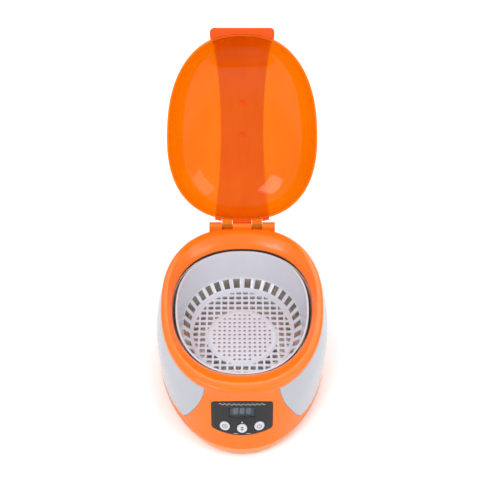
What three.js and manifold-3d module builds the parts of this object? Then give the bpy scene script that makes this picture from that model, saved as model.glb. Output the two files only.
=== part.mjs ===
// A household ultrasonic cleaner: an egg-shaped body with a stainless tank, a lift-out basket and a
// hinged clear lid, standing open. Millimetres, +Z up, +X to the right, the front faces -Y. The
// origin is on the table, below the middle of the open object's bounding box.
import * as THREE from 'three';
import { mergeVertices } from 'three/addons/utils/BufferGeometryUtils.js';
import Module from 'manifold-3d';

const wasm = await Module();
wasm.setup();

// Overall sizes of the body.
const RIM_HALF_WIDTH = 83;
const RIM_HALF_LENGTH = 109.6;
const RIM_CENTRE = 8;
const RIM_HEIGHT = 88; // at the back, where the rim is highest
const RIM_SLOPE = THREE.MathUtils.degToRad(2.5);
const RIM_BAND = 8; // height of the orange band round the rim
const RIM_ROUND = 3;
const LEAN_START = 40; // the slope of the rim fades out downwards to here
const SIDE_BULGE = 6;
const BULGE_HEIGHT = 50;
const BASE_TUCK = 2.5; // how far the sides come back in from the bulge at the parting line
const CONSOLE_TOP = 14; // below the rim
const CONSOLE_SLOPE = 0.34;
const CONSOLE_BEND = 8;

// Walls, gaps and the parting line between the housing and the bottom cover.
const WALL = 2.4;
const GAP = 0.3;
const PARTING_HEIGHT = 12;
const COVER_UNDERSIDE = 2.6;
const COVER_EDGE_STEP = 0.4;
const COVER_LIP_HEIGHT = 3;
const COVER_LIP_THICKNESS = 1.4;

// Ring, funnel and opening.
const RING_WIDTH_SIDE = 11.5;
const RING_WIDTH_FRONT = 26;
const RING_WIDTH_REAR = 23.9;
const FUNNEL_DEPTH = 11;
const LIP_DEPTH = 2;
const GASKET_REACH = 5.2;

// Tank and basket.
const TANK_FLOOR_HEIGHT = 27;
const TANK_WALL = 1;
const TANK_CORNER = 2.2;
const TANK_CLEARANCE = 2.5;
const FLANGE_THICKNESS = 1;
const GASKET_THICKNESS = 2;
const BASKET_CLEARANCE = 1.5; // to the opening's edge, front and rear
const BASKET_CLEARANCE_SIDE = 2.8;
const BASKET_WALL = 1.8;
const BASKET_FOOT_HEIGHT = 9.2;
const BASKET_FOOT_RADIUS = 1.8;
const BASKET_RIM_DROP = 1.5; // below the opening's edge
const VESSEL_TAPER_SIDE = 4.9; // from the basket's rim down to its shoulder
const VESSEL_TAPER_REAR = 10.8;
const VESSEL_TAPER_FRONT = 9.5;
const SHOULDER_HEIGHT = 6.8; // the slotted slope between wall and floor
const SHOULDER_REACH_SIDE = 8;
const SHOULDER_REACH_REAR = 9.8;
const SHOULDER_REACH_FRONT = 8;
const SLOT_COUNT = 36;
const SLOT_SHARE = 0.6; // of the pitch, the rest is bar
const SLOT_END_BAR = 1; // left at each end of the slope
const GRID_PITCH = 7.5;
const GRID_HOLE_WIDTH = 5.3;
const GRID_HOLE_DEPTH = 4.6;
const GRID_MARGIN_SIDE = 3.6;
const GRID_MARGIN_REAR = 6.3;
const GRID_MARGIN_FRONT = 3.4;
const SIEVE_RADIUS = 36.8;
const SIEVE_SETBACK = 7.2; // how far the middle of the fine sieve lies in front of the floor's middle

// Side panels.
const PANEL_THICKNESS = 1.8;
const PETAL_TOP_HALF_GAP = 35.5; // from the middle plane to a panel's edge, at its top
const PETAL_LOW_HALF_GAP = 57.4;
const PETAL_LOW_HEIGHT = 20;
const PETAL_SIDE_HEIGHT = 14.6;
const LINER_OVERLAP = 3;

// Hinge and lid.
const HINGE_RISE = 3; // axis above the rim
const HINGE_INSET = 2.1; // axis in front of the rim's rear edge
const HINGE_BARREL_RADIUS = 3.9;
const HINGE_BLOCK_HALF_WIDTH = 36;
const HINGE_PIN_RADIUS = 1.5;
const HINGE_PIN_HALF_LENGTH = 31;
const LUG_NEAR = 10.8;
const LUG_FAR = 21.8;
const LUG_RADIUS = 3.6;
const LID_BARREL_CLEARANCE = 3.5; // from the hinge barrel to the lid's rear edge
const LID_INSET_SIDE = 4.1;
const LID_LENGTH = 202.4;
const LID_RISE = 50;
const LID_WALL = 2;
const LID_OPEN_ANGLE = THREE.MathUtils.degToRad(111.5);
const STRAP_THICKNESS = 2.3;
const STRAP_HALF_REAR = 29.5;
const STRAP_HALF_MIDDLE = 23.3;
const STRAP_HALF_FRONT = 32.5;
const TAB_REACH = 7;
const TAB_THICKNESS = 3.6;
const STUD_SPACING = 36;
const STUD_RADIUS = 1.2;
const STUD_HEAD_RADIUS = 2.2;
const STUD_HEAD_HEIGHT = 0.9;

// Control panel on the console.
const FASCIA_HALF_WIDTH = 29.4;
const FASCIA_TOP_DROP = 18.2; // below the rim, before the rim's slope
const FASCIA_FOOT = 27.9;
const FASCIA_TOP_ARCH = 3.3;
const FASCIA_FOOT_ARCH = 4.8;
const FASCIA_CORNER = 3.5;
const FASCIA_DEPTH = 1.4;
const FASCIA_PROUD = 0.2;
const WINDOW_WIDTH = 24.4;
const WINDOW_HEIGHT = 9.2;
const WINDOW_DROP = 12.9; // centre below the fascia's top
const WINDOW_DEPTH = 1.2;
const BUTTON_RADIUS = 4.85;
const BUTTON_PROUD = 1.2;
const BUTTON_SPACING = 16.6;
const BUTTON_DROP_MIDDLE = 30.1;
const BUTTON_DROP_SIDE = 28.3;
const BUTTON_DEPTH = 7;
const BUTTON_CLEARANCE = 0.35;
const PLUNGER_RADIUS = 1.8;
const BOARD_DEPTH = 14;
const BOARD_THICKNESS = 1.6;
const CONTROL_BOARD_WIDTH = 66;
const CONTROL_BOARD_HEIGHT = 36;
const SWITCH_SIZE = 6;
const SWITCH_HEIGHT = 3.4;
const DISPLAY_WIDTH = 23;
const DISPLAY_HEIGHT = 10.4;
const DISPLAY_FACE_DEPTH = 3.4;

// Pieces under the tank and on the bottom cover.
const TRANSDUCER_RADIUS = 28;
const TRANSDUCER_THICKNESS = 4;
const PIEZO_RADIUS = 25;
const PIEZO_THICKNESS = 3;
const DRIVER_BOARD_WIDTH = 74;
const DRIVER_BOARD_DEPTH = 31;
const DRIVER_BOARD_HEIGHT = 11;
const DRIVER_BOARD_CLEARANCE = 4; // between the tank's front and the board's rear edge
const DRIVER_POST_INSET_SIDE = 7;
const DRIVER_POST_INSET_END = 5;
const TRANSFORMER_PLACE = -18; // along the driver board, as are the next three
const CAPACITOR_PLACE = 4;
const HEAT_SINK_PLACE = 17;
const FUSE_PLACE = -34.6;
const CORE_WIDTH = 24;
const CORE_LENGTH = 20;
const CORE_HEIGHT = 18;
const CORE_STANDOFF = 2;
const BOBBIN_WIDTH = 16;
const BOBBIN_LENGTH = 24;
const BOBBIN_HEIGHT = 16;
const HEAT_SINK_SIZE = 20;
const HEAT_SINK_PLATE = 3;
const FIN_COUNT = 5;
const FIN_THICKNESS = 1.6;
const FIN_REACH = 12;
const TRANSISTOR_WIDTH = 10;
const TRANSISTOR_THICKNESS = 2.5;
const TRANSISTOR_HEIGHT = 14;
const TRANSISTOR_STANDOFF = 3;
const CAPACITOR_RADIUS = 5.5;
const CAPACITOR_HEIGHT = 18;
const FUSE_LENGTH = 6.8;
const FUSE_RADIUS = 2.6;
const LEAD_RADIUS = 1;
const POST_RADIUS = 3;
const FOOT_RADIUS = 7;
const FOOT_INSET_SIDE = 35;
const FOOT_INSET_FRONT = 40;
const FOOT_INSET_REAR = 54;
const SCREW_RADIUS = 1.5;
const SCREW_HEAD_RADIUS = 3;
const SCREW_HEAD_HEIGHT = 1.4;
const BOSS_RADIUS = 4;
const BOSS_TOP = 30;
const BOSS_INSET_SIDE = 26.5;
const BOSS_OFFSET = 50;
const CLAMP_SPACING = 84;
const CLAMP_THICKNESS = 1.6;
const CLAMP_WIDTH = 12;
const CLAMP_HOOK = 1.3; // how far a clamp reaches under the flange
const CLAMP_STANDOFF = 1.4; // between the flange and a clamp's boss
const CLAMP_WALL_GAP = 0.25;

// Mains inlet in the back.
const INLET_HEIGHT = 25;
const INLET_WIDTH = 22;
const INLET_TALL = 14;
const INLET_DEPTH = 18;
const INLET_FLANGE = 2.5;
const INLET_FLANGE_TALL = 1.4;
const INLET_FLANGE_THICKNESS = 1.2;
const INLET_PROUD = 1.5;
const INLET_POCKET_DEPTH = 12;
const INLET_POCKET_RADIUS = 3.9;
const INLET_PIN_SPACING = 8.6;
const INLET_PIN_RADIUS = 1.2;
const INLET_PIN_LENGTH = 9;
const INLET_PIN_ROOT = 4; // of it held in the moulding, behind the pocket

// Fineness of the facets.
const EGG_SIDES = 36;
const ROUND_SIDES = 14;
const WALL_LEVELS = 5;
const DOME_LEVELS = 6;

const lerp = THREE.MathUtils.lerp;

// Colours and surfaces.
const ORANGE = 0xfb7d2a;
const WHITE = 0xdcdade;
const CLEAR_ORANGE = 0xf5750e;

function finish(color, roughness, metalness = 0) {
  return new THREE.MeshStandardMaterial({ color, roughness, metalness });
}

function clearFinish(color, opacity) {
  return new THREE.MeshStandardMaterial({ color, roughness: 0.08, transparent: true, opacity });
}

// A closed geometry as a solid for cutting and joining, with its faces pointing out.
function solidOf(geometry) {
  const bare = geometry.clone();
  bare.deleteAttribute('normal');
  bare.deleteAttribute('uv');
  const merged = mergeVertices(bare, 1e-4);
  const corners = merged.attributes.position.array;
  const index = merged.index.array;
  const triangles = [];
  let volume = 0;
  const a = new THREE.Vector3();
  const b = new THREE.Vector3();
  const c = new THREE.Vector3();
  for (let i = 0; i < index.length; i += 3) {
    const [p, q, r] = [index[i], index[i + 1], index[i + 2]];
    if (p !== q && q !== r && r !== p) {
      triangles.push(p, q, r);
      a.fromArray(corners, 3 * p);
      b.fromArray(corners, 3 * q);
      c.fromArray(corners, 3 * r);
      volume += a.dot(b.cross(c));
    }
  }
  if (volume < 0) {
    triangles.reverse();
  }
  const mesh = { numProp: 3, vertProperties: Float32Array.from(corners), triVerts: Uint32Array.from(triangles) };
  return new wasm.Manifold(new wasm.Mesh(mesh));
}

function geometryOf(solid) {
  const mesh = solid.getMesh();
  const geometry = new THREE.BufferGeometry();
  geometry.setAttribute('position', new THREE.BufferAttribute(mesh.vertProperties, mesh.numProp));
  geometry.setIndex(new THREE.BufferAttribute(mesh.triVerts, 1));
  geometry.computeVertexNormals();
  return geometry;
}

function piece(name, solid, material) {
  const mesh = new THREE.Mesh(geometryOf(solid), material);
  mesh.name = name;
  return mesh;
}

// A solid box between two corners.
function block(low, high) {
  const size = [0, 1, 2].map((axis) => high[axis] - low[axis]);
  const middle = [0, 1, 2].map((axis) => (high[axis] + low[axis]) / 2);
  return solidOf(new THREE.BoxGeometry(...size).translate(...middle));
}

// An upright round bar on the point x, y.
function drum(x, y, low, high, radius, sides = ROUND_SIDES) {
  const geometry = new THREE.CylinderGeometry(radius, radius, high - low, sides);
  geometry.rotateX(Math.PI / 2);
  geometry.translate(x, y, (low + high) / 2);
  return solidOf(geometry);
}

// A flat outline drawn in x, y and pulled up between two heights.
function prism(shape, low, high, curveSegments = 8) {
  const geometry = new THREE.ExtrudeGeometry(shape, { depth: high - low, bevelEnabled: false, curveSegments });
  return geometry.translate(0, 0, low);
}

// An outline drawn in y, z and pulled along X between two places.
function crossPrism(shape, left, right, curveSegments = 8) {
  const geometry = prism(shape, left, right, curveSegments);
  const turn = new THREE.Matrix4().set(0, 0, 1, 0, 1, 0, 0, 0, 0, 1, 0, 0, 0, 0, 0, 1);
  return solidOf(geometry.applyMatrix4(turn));
}

function joined(solids) {
  return solids.reduce((whole, solid) => whole.add(solid));
}

// Eggs: rounded outlines that widen towards the back. Every wall of the body, tank, basket and lid
// is a stack of them.
function egg(halfWidth, front, rear, taper, power) {
  return { halfWidth, halfLength: (rear - front) / 2, centre: (rear + front) / 2, taper, power };
}

function grown(base, amount) {
  return { ...base, halfWidth: base.halfWidth + amount, halfLength: base.halfLength + amount };
}

function scaled(base, factor) {
  return { ...base, halfWidth: base.halfWidth * factor, halfLength: base.halfLength * factor };
}

function blend(one, other, share) {
  const mix = {};
  for (const key of Object.keys(one)) {
    mix[key] = lerp(one[key], other[key], share);
  }
  return mix;
}

function eggPoint(outline, angle) {
  const across = Math.sign(Math.cos(angle)) * Math.abs(Math.cos(angle)) ** (2 / outline.power);
  const along = Math.sign(Math.sin(angle)) * Math.abs(Math.sin(angle)) ** (2 / outline.power);
  const x = outline.halfWidth * across * (1 + outline.taper * along);
  return new THREE.Vector2(x, outline.centre + outline.halfLength * along);
}

const rimRear = RIM_CENTRE + RIM_HALF_LENGTH;
const rimFront = RIM_CENTRE - RIM_HALF_LENGTH;
const bandFoot = RIM_HEIGHT - RIM_BAND;
const rimEgg = egg(RIM_HALF_WIDTH, rimFront, rimRear, 0.05, 2.31);
const openingEgg = egg(
  RIM_HALF_WIDTH - RING_WIDTH_SIDE, rimFront + RING_WIDTH_FRONT, rimRear - RING_WIDTH_REAR, 0.05, 2.25);
const openingHeight = RIM_HEIGHT - FUNNEL_DEPTH;

// The rim slopes down to the front. Everything above LEAN_START follows it.
function lean(y, z) {
  const share = THREE.MathUtils.clamp((z - LEAN_START) / (RIM_HEIGHT - LEAN_START), 0, 1);
  return z - (rimRear - y) * Math.tan(RIM_SLOPE) * share;
}

function leaned(geometry) {
  const position = geometry.attributes.position;
  for (let i = 0; i < position.count; i += 1) {
    position.setZ(i, lean(position.getY(i), position.getZ(i)));
  }
  return geometry;
}

// A stack of eggs skinned into one closed surface, from the axis back to the axis or round in a loop.
function eggGeometry(rings) {
  const loop = rings[0].outline.halfWidth > 0 ? [...rings, rings[0]] : rings;
  const profile = loop.map((ring) => new THREE.Vector2(ring.outline.halfWidth, ring.z));
  const geometry = new THREE.LatheGeometry(profile, EGG_SIDES);
  const position = geometry.attributes.position;
  for (let i = 0; i < position.count; i += 1) {
    const ring = loop[i % loop.length];
    const turn = Math.floor(i / loop.length) % EGG_SIDES;
    const point = eggPoint(ring.outline, (2 * Math.PI * turn) / EGG_SIDES);
    position.setXYZ(i, point.x, point.y, ring.z);
  }
  return geometry;
}

function tip(outline, z) {
  return { outline: scaled(outline, 0), z };
}

// The outside of the body at a height: straight round the rim band, bulging below it, and reaching
// forward under the console.
function bodyEgg(z) {
  const upper = RIM_HEIGHT - RIM_BAND - BULGE_HEIGHT;
  const lower = (BULGE_HEIGHT - PARTING_HEIGHT) * Math.sqrt(SIDE_BULGE / BASE_TUCK);
  const fromBulge = Math.min(z, bandFoot) - BULGE_HEIGHT;
  const bulge = SIDE_BULGE * (1 - (fromBulge / (fromBulge > 0 ? upper : lower)) ** 2);
  const drop = Math.max(0, RIM_HEIGHT - CONSOLE_TOP - z);
  const reach = (CONSOLE_SLOPE * drop ** 2) / (drop + CONSOLE_BEND);
  const height = z / RIM_HEIGHT;
  return egg(
    RIM_HALF_WIDTH + bulge, rimFront - reach, rimRear + 0.3 * bulge,
    lerp(0.07, 0.05, height), lerp(2.02, 2.31, height));
}

function levels(low, high, count) {
  return Array.from({ length: count }, (_, i) => lerp(low, high, i / (count - 1)));
}

// Heights at which the body's wall is shaped, from the parting line to the rim band.
const wallLevels = levels(PARTING_HEIGHT + GAP, bandFoot, WALL_LEVELS);

// The whole body as a filled solid, its outside moved in or out by an offset.
function bodySolid(offset) {
  const low = PARTING_HEIGHT - 6;
  const high = RIM_HEIGHT + 4;
  const rings = [low, ...wallLevels, high].map((z) => ({ outline: grown(bodyEgg(z), offset), z }));
  const closed = [tip(bodyEgg(low), low), ...rings, tip(bodyEgg(high), high)];
  return solidOf(leaned(eggGeometry(closed)));
}

// The lid's outline on the rim, before the hinge lifts it.
const hingeY = rimRear - HINGE_INSET;
const hingeZ = RIM_HEIGHT + HINGE_RISE;
const lidSetback = HINGE_BARREL_RADIUS + LID_BARREL_CLEARANCE;
const lidRear = hingeY - lidSetback;
const lidEgg = egg(RIM_HALF_WIDTH - LID_INSET_SIDE, lidRear - LID_LENGTH, lidRear, 0.07, 2.38);
const landEgg = grown(lidEgg, -LID_WALL - 0.6);

// The hollow of tank and basket: from the opening down to the smaller basket floor.
const basketRimHeight = openingHeight - BASKET_RIM_DROP;
const basketUnderside = TANK_FLOOR_HEIGHT + BASKET_FOOT_HEIGHT;
const basketFloor = basketUnderside + BASKET_WALL;
const shoulderTop = basketFloor + SHOULDER_HEIGHT;
const basketRimEgg = {
  ...grown(openingEgg, -BASKET_CLEARANCE),
  halfWidth: openingEgg.halfWidth - BASKET_CLEARANCE_SIDE,
};

// An egg inside another, with its own inset at the sides, the front and the rear.
function inset(base, side, front, rear, taper, power) {
  return egg(base.halfWidth - side, base.centre - base.halfLength + front,
    base.centre + base.halfLength - rear, taper, power);
}

const shoulderEgg = inset(
  basketRimEgg, VESSEL_TAPER_SIDE, VESSEL_TAPER_FRONT, VESSEL_TAPER_REAR, 0.045, 2.15);
const basketFloorEgg = inset(
  shoulderEgg, SHOULDER_REACH_SIDE, SHOULDER_REACH_FRONT, SHOULDER_REACH_REAR, 0.04, 2.1);

function vesselEgg(z, offset) {
  const share = (z - shoulderTop) / (basketRimHeight - shoulderTop);
  return grown(blend(shoulderEgg, basketRimEgg, share), offset);
}

// Upper housing: rim band, funnel and console in one moulding, with a liner behind each side panel.
const lipUnderside = openingHeight - LIP_DEPTH;

function housingShell() {
  const rings = wallLevels.map((z) => ({ outline: bodyEgg(z), z }));
  for (const turn of levels(0, Math.PI / 2, 4)) {
    const inset = RIM_ROUND * (1 - Math.cos(turn));
    const z = RIM_HEIGHT - RIM_ROUND * (1 - Math.sin(turn));
    rings.push({ outline: grown(rimEgg, -inset), z });
  }
  rings.push({ outline: landEgg, z: RIM_HEIGHT });
  rings.push({ outline: blend(landEgg, openingEgg, 0.35), z: RIM_HEIGHT - FUNNEL_DEPTH * 0.25 });
  rings.push({ outline: blend(landEgg, openingEgg, 0.8), z: RIM_HEIGHT - FUNNEL_DEPTH * 0.66 });
  rings.push({ outline: openingEgg, z: openingHeight });
  rings.push({ outline: grown(openingEgg, GAP), z: lipUnderside });
  rings.push({ outline: grown(openingEgg, GASKET_REACH + 1), z: lipUnderside });
  rings.push({ outline: grown(landEgg, WALL), z: RIM_HEIGHT - WALL - 0.6 });
  rings.push({ outline: grown(rimEgg, -WALL - 1), z: RIM_HEIGHT - WALL - 0.6 });
  for (const z of [...wallLevels].reverse()) {
    rings.push({ outline: grown(bodyEgg(z), -WALL), z });
  }
  return solidOf(leaned(eggGeometry(rings)));
}

// The region of one side panel, seen from the front and pulled through the body, on the side +X.
function petal(grow) {
  const outer = RIM_HALF_WIDTH + SIDE_BULGE + 10;
  const top = bandFoot + grow;
  const shape = new THREE.Shape();
  shape.moveTo(outer, PETAL_SIDE_HEIGHT - grow);
  shape.lineTo(PETAL_LOW_HALF_GAP + 16, PETAL_SIDE_HEIGHT - grow);
  shape.lineTo(PETAL_LOW_HALF_GAP - grow, PETAL_LOW_HEIGHT - grow);
  shape.quadraticCurveTo(PETAL_TOP_HALF_GAP + 1 - grow, lerp(PETAL_LOW_HEIGHT, top, 0.62),
    PETAL_TOP_HALF_GAP - grow, top);
  shape.lineTo(outer, top);
  const geometry = prism(shape, rimFront - 40, rimRear + 20, 8);
  geometry.rotateX(Math.PI / 2);
  geometry.scale(1, -1, 1);
  return geometry;
}

function petalSolid(grow, side) {
  const geometry = leaned(petal(grow));
  return solidOf(geometry.scale(side, 1, 1));
}

// The console carries its parts in a frame of its own: u across, v up the slope, n out of it.
const fasciaTop = RIM_HEIGHT - FASCIA_TOP_DROP;
const fasciaTopY = bodyEgg(fasciaTop).centre - bodyEgg(fasciaTop).halfLength;
const fasciaFootY = bodyEgg(FASCIA_FOOT).centre - bodyEgg(FASCIA_FOOT).halfLength;
const topPoint = new THREE.Vector3(0, fasciaTopY, lean(fasciaTopY, fasciaTop));
const footPoint = new THREE.Vector3(0, fasciaFootY, lean(fasciaFootY, FASCIA_FOOT));
const fasciaHeight = topPoint.distanceTo(footPoint);
const consoleAcross = new THREE.Vector3(1, 0, 0);
const consoleUp = topPoint.clone().sub(footPoint).normalize();
const consoleOut = new THREE.Vector3().crossVectors(consoleAcross, consoleUp);
const consoleFrame = new THREE.Matrix4().makeBasis(consoleAcross, consoleUp, consoleOut);
consoleFrame.setPosition(topPoint.clone().add(footPoint).multiplyScalar(0.5));

const windowV = fasciaHeight / 2 - WINDOW_DROP;
const buttonPlaces = [
  { name: 'left', u: -BUTTON_SPACING, v: fasciaHeight / 2 - BUTTON_DROP_SIDE },
  { name: 'middle', u: 0, v: fasciaHeight / 2 - BUTTON_DROP_MIDDLE },
  { name: 'right', u: BUTTON_SPACING, v: fasciaHeight / 2 - BUTTON_DROP_SIDE },
];

// An outline in u, v pulled between two depths along n.
function consolePrism(shape, low, high) {
  return solidOf(prism(shape, low, high, 6).applyMatrix4(consoleFrame));
}

function fasciaShape(grow) {
  const side = FASCIA_HALF_WIDTH + grow;
  const top = fasciaHeight / 2 + grow;
  const foot = -fasciaHeight / 2 - grow;
  const topSide = top - FASCIA_TOP_ARCH;
  const footSide = foot + FASCIA_FOOT_ARCH;
  const shape = new THREE.Shape();
  shape.moveTo(-side, footSide + FASCIA_CORNER);
  shape.lineTo(-side, topSide - FASCIA_CORNER);
  shape.quadraticCurveTo(-side, topSide, FASCIA_CORNER - side, topSide + 0.4);
  shape.quadraticCurveTo(0, top + FASCIA_TOP_ARCH - 0.4, side - FASCIA_CORNER, topSide + 0.4);
  shape.quadraticCurveTo(side, topSide, side, topSide - FASCIA_CORNER);
  shape.lineTo(side, footSide + FASCIA_CORNER);
  shape.quadraticCurveTo(side, footSide, side - FASCIA_CORNER, footSide - 0.7);
  shape.quadraticCurveTo(0, foot - FASCIA_FOOT_ARCH + 0.7, FASCIA_CORNER - side, footSide - 0.7);
  shape.quadraticCurveTo(-side, footSide, -side, footSide + FASCIA_CORNER);
  return shape;
}

function rectangle(u, v, width, height) {
  const shape = new THREE.Shape();
  shape.moveTo(u - width / 2, v - height / 2);
  shape.lineTo(u + width / 2, v - height / 2);
  shape.lineTo(u + width / 2, v + height / 2);
  shape.lineTo(u - width / 2, v + height / 2);
  return shape;
}

// A round bar along n between two depths.
function consoleDrum(u, v, low, high, radius) {
  const geometry = new THREE.CylinderGeometry(radius, radius, high - low, ROUND_SIDES);
  geometry.rotateX(Math.PI / 2);
  geometry.translate(u, v, (low + high) / 2);
  return solidOf(geometry.applyMatrix4(consoleFrame));
}

const coverScrews = [-1, 1].flatMap((side) => [-1, 1].map((end) => ({
  x: side * (RIM_HALF_WIDTH + SIDE_BULGE - BASE_TUCK - BOSS_INSET_SIDE),
  y: end * BOSS_OFFSET,
})));

const clampPlaces = [-1, 1].flatMap((side) => [-1, 1].map((end) => {
  const x = (side * CLAMP_SPACING) / 2;
  const outline = grown(openingEgg, GASKET_REACH + BOSS_RADIUS + CLAMP_STANDOFF);
  const across = Math.abs(x) / (outline.halfWidth * (1 + end * outline.taper * 0.85));
  const along = (1 - across ** outline.power) ** (1 / outline.power);
  return { x, y: outline.centre + end * outline.halfLength * along, end };
}));

// The clamps lie under the flange of the tank.
const flangeTop = lipUnderside - GAP - GASKET_THICKNESS - GAP;
const flangeUnderside = flangeTop - FLANGE_THICKNESS;
const clampTop = flangeUnderside - GAP;

function hingeBlock() {
  const shape = new THREE.Shape();
  const low = bandFoot;
  shape.moveTo(hingeY - HINGE_BARREL_RADIUS, low);
  shape.lineTo(hingeY + HINGE_BARREL_RADIUS, low);
  shape.lineTo(hingeY + HINGE_BARREL_RADIUS, hingeZ);
  shape.absarc(hingeY, hingeZ, HINGE_BARREL_RADIUS, 0, Math.PI, false);
  return crossPrism(shape, -HINGE_BLOCK_HALF_WIDTH, HINGE_BLOCK_HALF_WIDTH, 10);
}

function hingeSlots() {
  const reach = LUG_RADIUS + 1;
  return [-1, 1].map((side) => {
    const edges = [side * (LUG_NEAR - 0.4), side * (LUG_FAR + 0.4)].sort((a, b) => a - b);
    return block([edges[0], hingeY - reach, hingeZ - LUG_RADIUS - 0.4],
      [edges[1], hingeY + reach + 3, hingeZ + reach]);
  });
}

function barAlongX(left, right, y, z, radius) {
  const geometry = new THREE.CylinderGeometry(radius, radius, right - left, ROUND_SIDES);
  geometry.rotateZ(Math.PI / 2);
  geometry.translate((left + right) / 2, y, z);
  return solidOf(geometry);
}

const inletFaceY = bodyEgg(INLET_HEIGHT).centre + bodyEgg(INLET_HEIGHT).halfLength;

// The control board stands on two posts of the console, one at each side.
const boardPostU = CONTROL_BOARD_WIDTH / 2 - 4;
const boardFace = BOARD_THICKNESS / 2 - BOARD_DEPTH;

function upperHousing() {
  const core = bodySolid(-WALL - 1.2);
  const inner = bodySolid(-PANEL_THICKNESS - GAP).subtract(bodySolid(-PANEL_THICKNESS - GAP - WALL));
  let housing = housingShell();
  for (const side of [-1, 1]) {
    const liner = inner.intersect(petalSolid(LINER_OVERLAP, side));
    const belowLid = block([-200, -200, PARTING_HEIGHT + GAP], [200, 200, RIM_HEIGHT]);
    housing = housing.subtract(petalSolid(0, side).subtract(core)).add(liner.intersect(belowLid));
  }
  housing = housing.add(hingeBlock());
  for (const slot of hingeSlots()) {
    housing = housing.subtract(slot);
  }
  const boreEnd = HINGE_PIN_HALF_LENGTH + 0.5;
  housing = housing.subtract(barAlongX(-boreEnd, boreEnd, hingeY, hingeZ, HINGE_PIN_RADIUS + GAP));
  // Bosses for the bottom cover's screws, each on a rib to the wall.
  const inside = bodySolid(-PANEL_THICKNESS - 2 * GAP);
  for (const place of coverScrews) {
    const wallX = Math.sign(place.x) * (RIM_HALF_WIDTH + SIDE_BULGE);
    const ends = [place.x, wallX].sort((a, b) => a - b);
    const boss = drum(place.x, place.y, COVER_UNDERSIDE + WALL + GAP, BOSS_TOP, BOSS_RADIUS);
    const rib = block([ends[0], place.y - 1, PARTING_HEIGHT + GAP + 4], [ends[1], place.y + 1, BOSS_TOP]);
    const bore = drum(place.x, place.y, COVER_UNDERSIDE, BOSS_TOP - 4, SCREW_RADIUS + GAP);
    housing = housing.add(rib.intersect(inside)).add(boss).subtract(bore);
  }
  // Bosses for the tank's clamps, hanging from the ring.
  for (const place of clampPlaces) {
    const y = place.y;
    const foot = lean(y, clampTop) + GAP;
    const boss = drum(place.x, y, foot, lean(y, lipUnderside) + 5, BOSS_RADIUS);
    const bore = drum(place.x, y, foot - 1, lean(y, lipUnderside) + 3, SCREW_RADIUS + GAP);
    housing = housing.add(boss).subtract(bore);
  }
  // Seat of the fascia, holes behind it, and the control board's posts.
  const seat = consolePrism(fasciaShape(GAP), -12, 12).subtract(bodySolid(-FASCIA_DEPTH - GAP));
  housing = housing.subtract(seat);
  for (const side of [-1, 1]) {
    const post = consoleDrum(side * boardPostU, 0, boardFace + GAP, 0, POST_RADIUS);
    const bore = consoleDrum(side * boardPostU, 0, -BOARD_DEPTH, -7, SCREW_RADIUS - 0.3);
    housing = housing.add(post.intersect(bodySolid(-FASCIA_DEPTH - GAP - 0.2))).subtract(bore);
  }
  for (const place of buttonPlaces) {
    housing = housing.subtract(consoleDrum(place.u, place.v, -12, 6, BUTTON_RADIUS + BUTTON_CLEARANCE));
  }
  const hole = rectangle(0, windowV, DISPLAY_WIDTH + 2 * GAP, DISPLAY_HEIGHT + 2 * GAP);
  housing = housing.subtract(consolePrism(hole, -10, 6));
  const inletHole = block(
    [-INLET_WIDTH / 2 - GAP, inletFaceY - 20, INLET_HEIGHT - INLET_TALL / 2 - GAP],
    [INLET_WIDTH / 2 + GAP, inletFaceY + 10, INLET_HEIGHT + INLET_TALL / 2 + GAP]);
  return housing.subtract(inletHole);
}

function sidePanel(side) {
  const skin = bodySolid(0).subtract(bodySolid(-PANEL_THICKNESS));
  return skin.intersect(petalSolid(-GAP, side));
}

// Bottom cover: a shallow tray with a locating lip, posts for the driver board and screw holes.
const tankOuterFront = vesselEgg(TANK_FLOOR_HEIGHT, 0).centre - vesselEgg(TANK_FLOOR_HEIGHT, 0).halfLength
  - TANK_CLEARANCE - TANK_WALL;
const driverRear = tankOuterFront - DRIVER_BOARD_CLEARANCE;
const driverFront = driverRear - DRIVER_BOARD_DEPTH;

function bottomCover() {
  const floor = COVER_UNDERSIDE + WALL;
  const lip = WALL + PANEL_THICKNESS + 3 * GAP;
  const top = PARTING_HEIGHT;
  const rings = [tip(bodyEgg(0), COVER_UNDERSIDE)];
  rings.push({ outline: grown(bodyEgg(COVER_UNDERSIDE), -9), z: COVER_UNDERSIDE });
  rings.push({ outline: grown(bodyEgg(4), -4.4), z: lerp(COVER_UNDERSIDE, top, 0.13) });
  rings.push({ outline: grown(bodyEgg(6), -1.5), z: lerp(COVER_UNDERSIDE, top, 0.38) });
  rings.push({ outline: grown(bodyEgg(9), 0), z: lerp(COVER_UNDERSIDE, top, 0.7) });
  rings.push({ outline: grown(bodyEgg(top), COVER_EDGE_STEP), z: top });
  rings.push({ outline: grown(bodyEgg(top), -lip), z: top });
  rings.push({ outline: grown(bodyEgg(top), -lip), z: top + COVER_LIP_HEIGHT });
  rings.push({ outline: grown(bodyEgg(top), -lip - COVER_LIP_THICKNESS), z: top + COVER_LIP_HEIGHT });
  rings.push({ outline: grown(bodyEgg(top), -lip - COVER_LIP_THICKNESS), z: top - 2 });
  rings.push({ outline: grown(bodyEgg(6), -9.5), z: floor });
  rings.push(tip(bodyEgg(0), floor));
  let cover = solidOf(eggGeometry(rings));
  for (const side of [-1, 1]) {
    for (const y of [driverFront + DRIVER_POST_INSET_END, driverRear - DRIVER_POST_INSET_END]) {
      const x = side * (DRIVER_BOARD_WIDTH / 2 - DRIVER_POST_INSET_SIDE);
      cover = cover.add(drum(x, y, floor - 1, DRIVER_BOARD_HEIGHT - GAP, POST_RADIUS));
    }
  }
  for (const place of coverScrews) {
    cover = cover.subtract(drum(place.x, place.y, 0, floor + 3, SCREW_RADIUS + GAP));
  }
  return cover;
}

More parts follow.
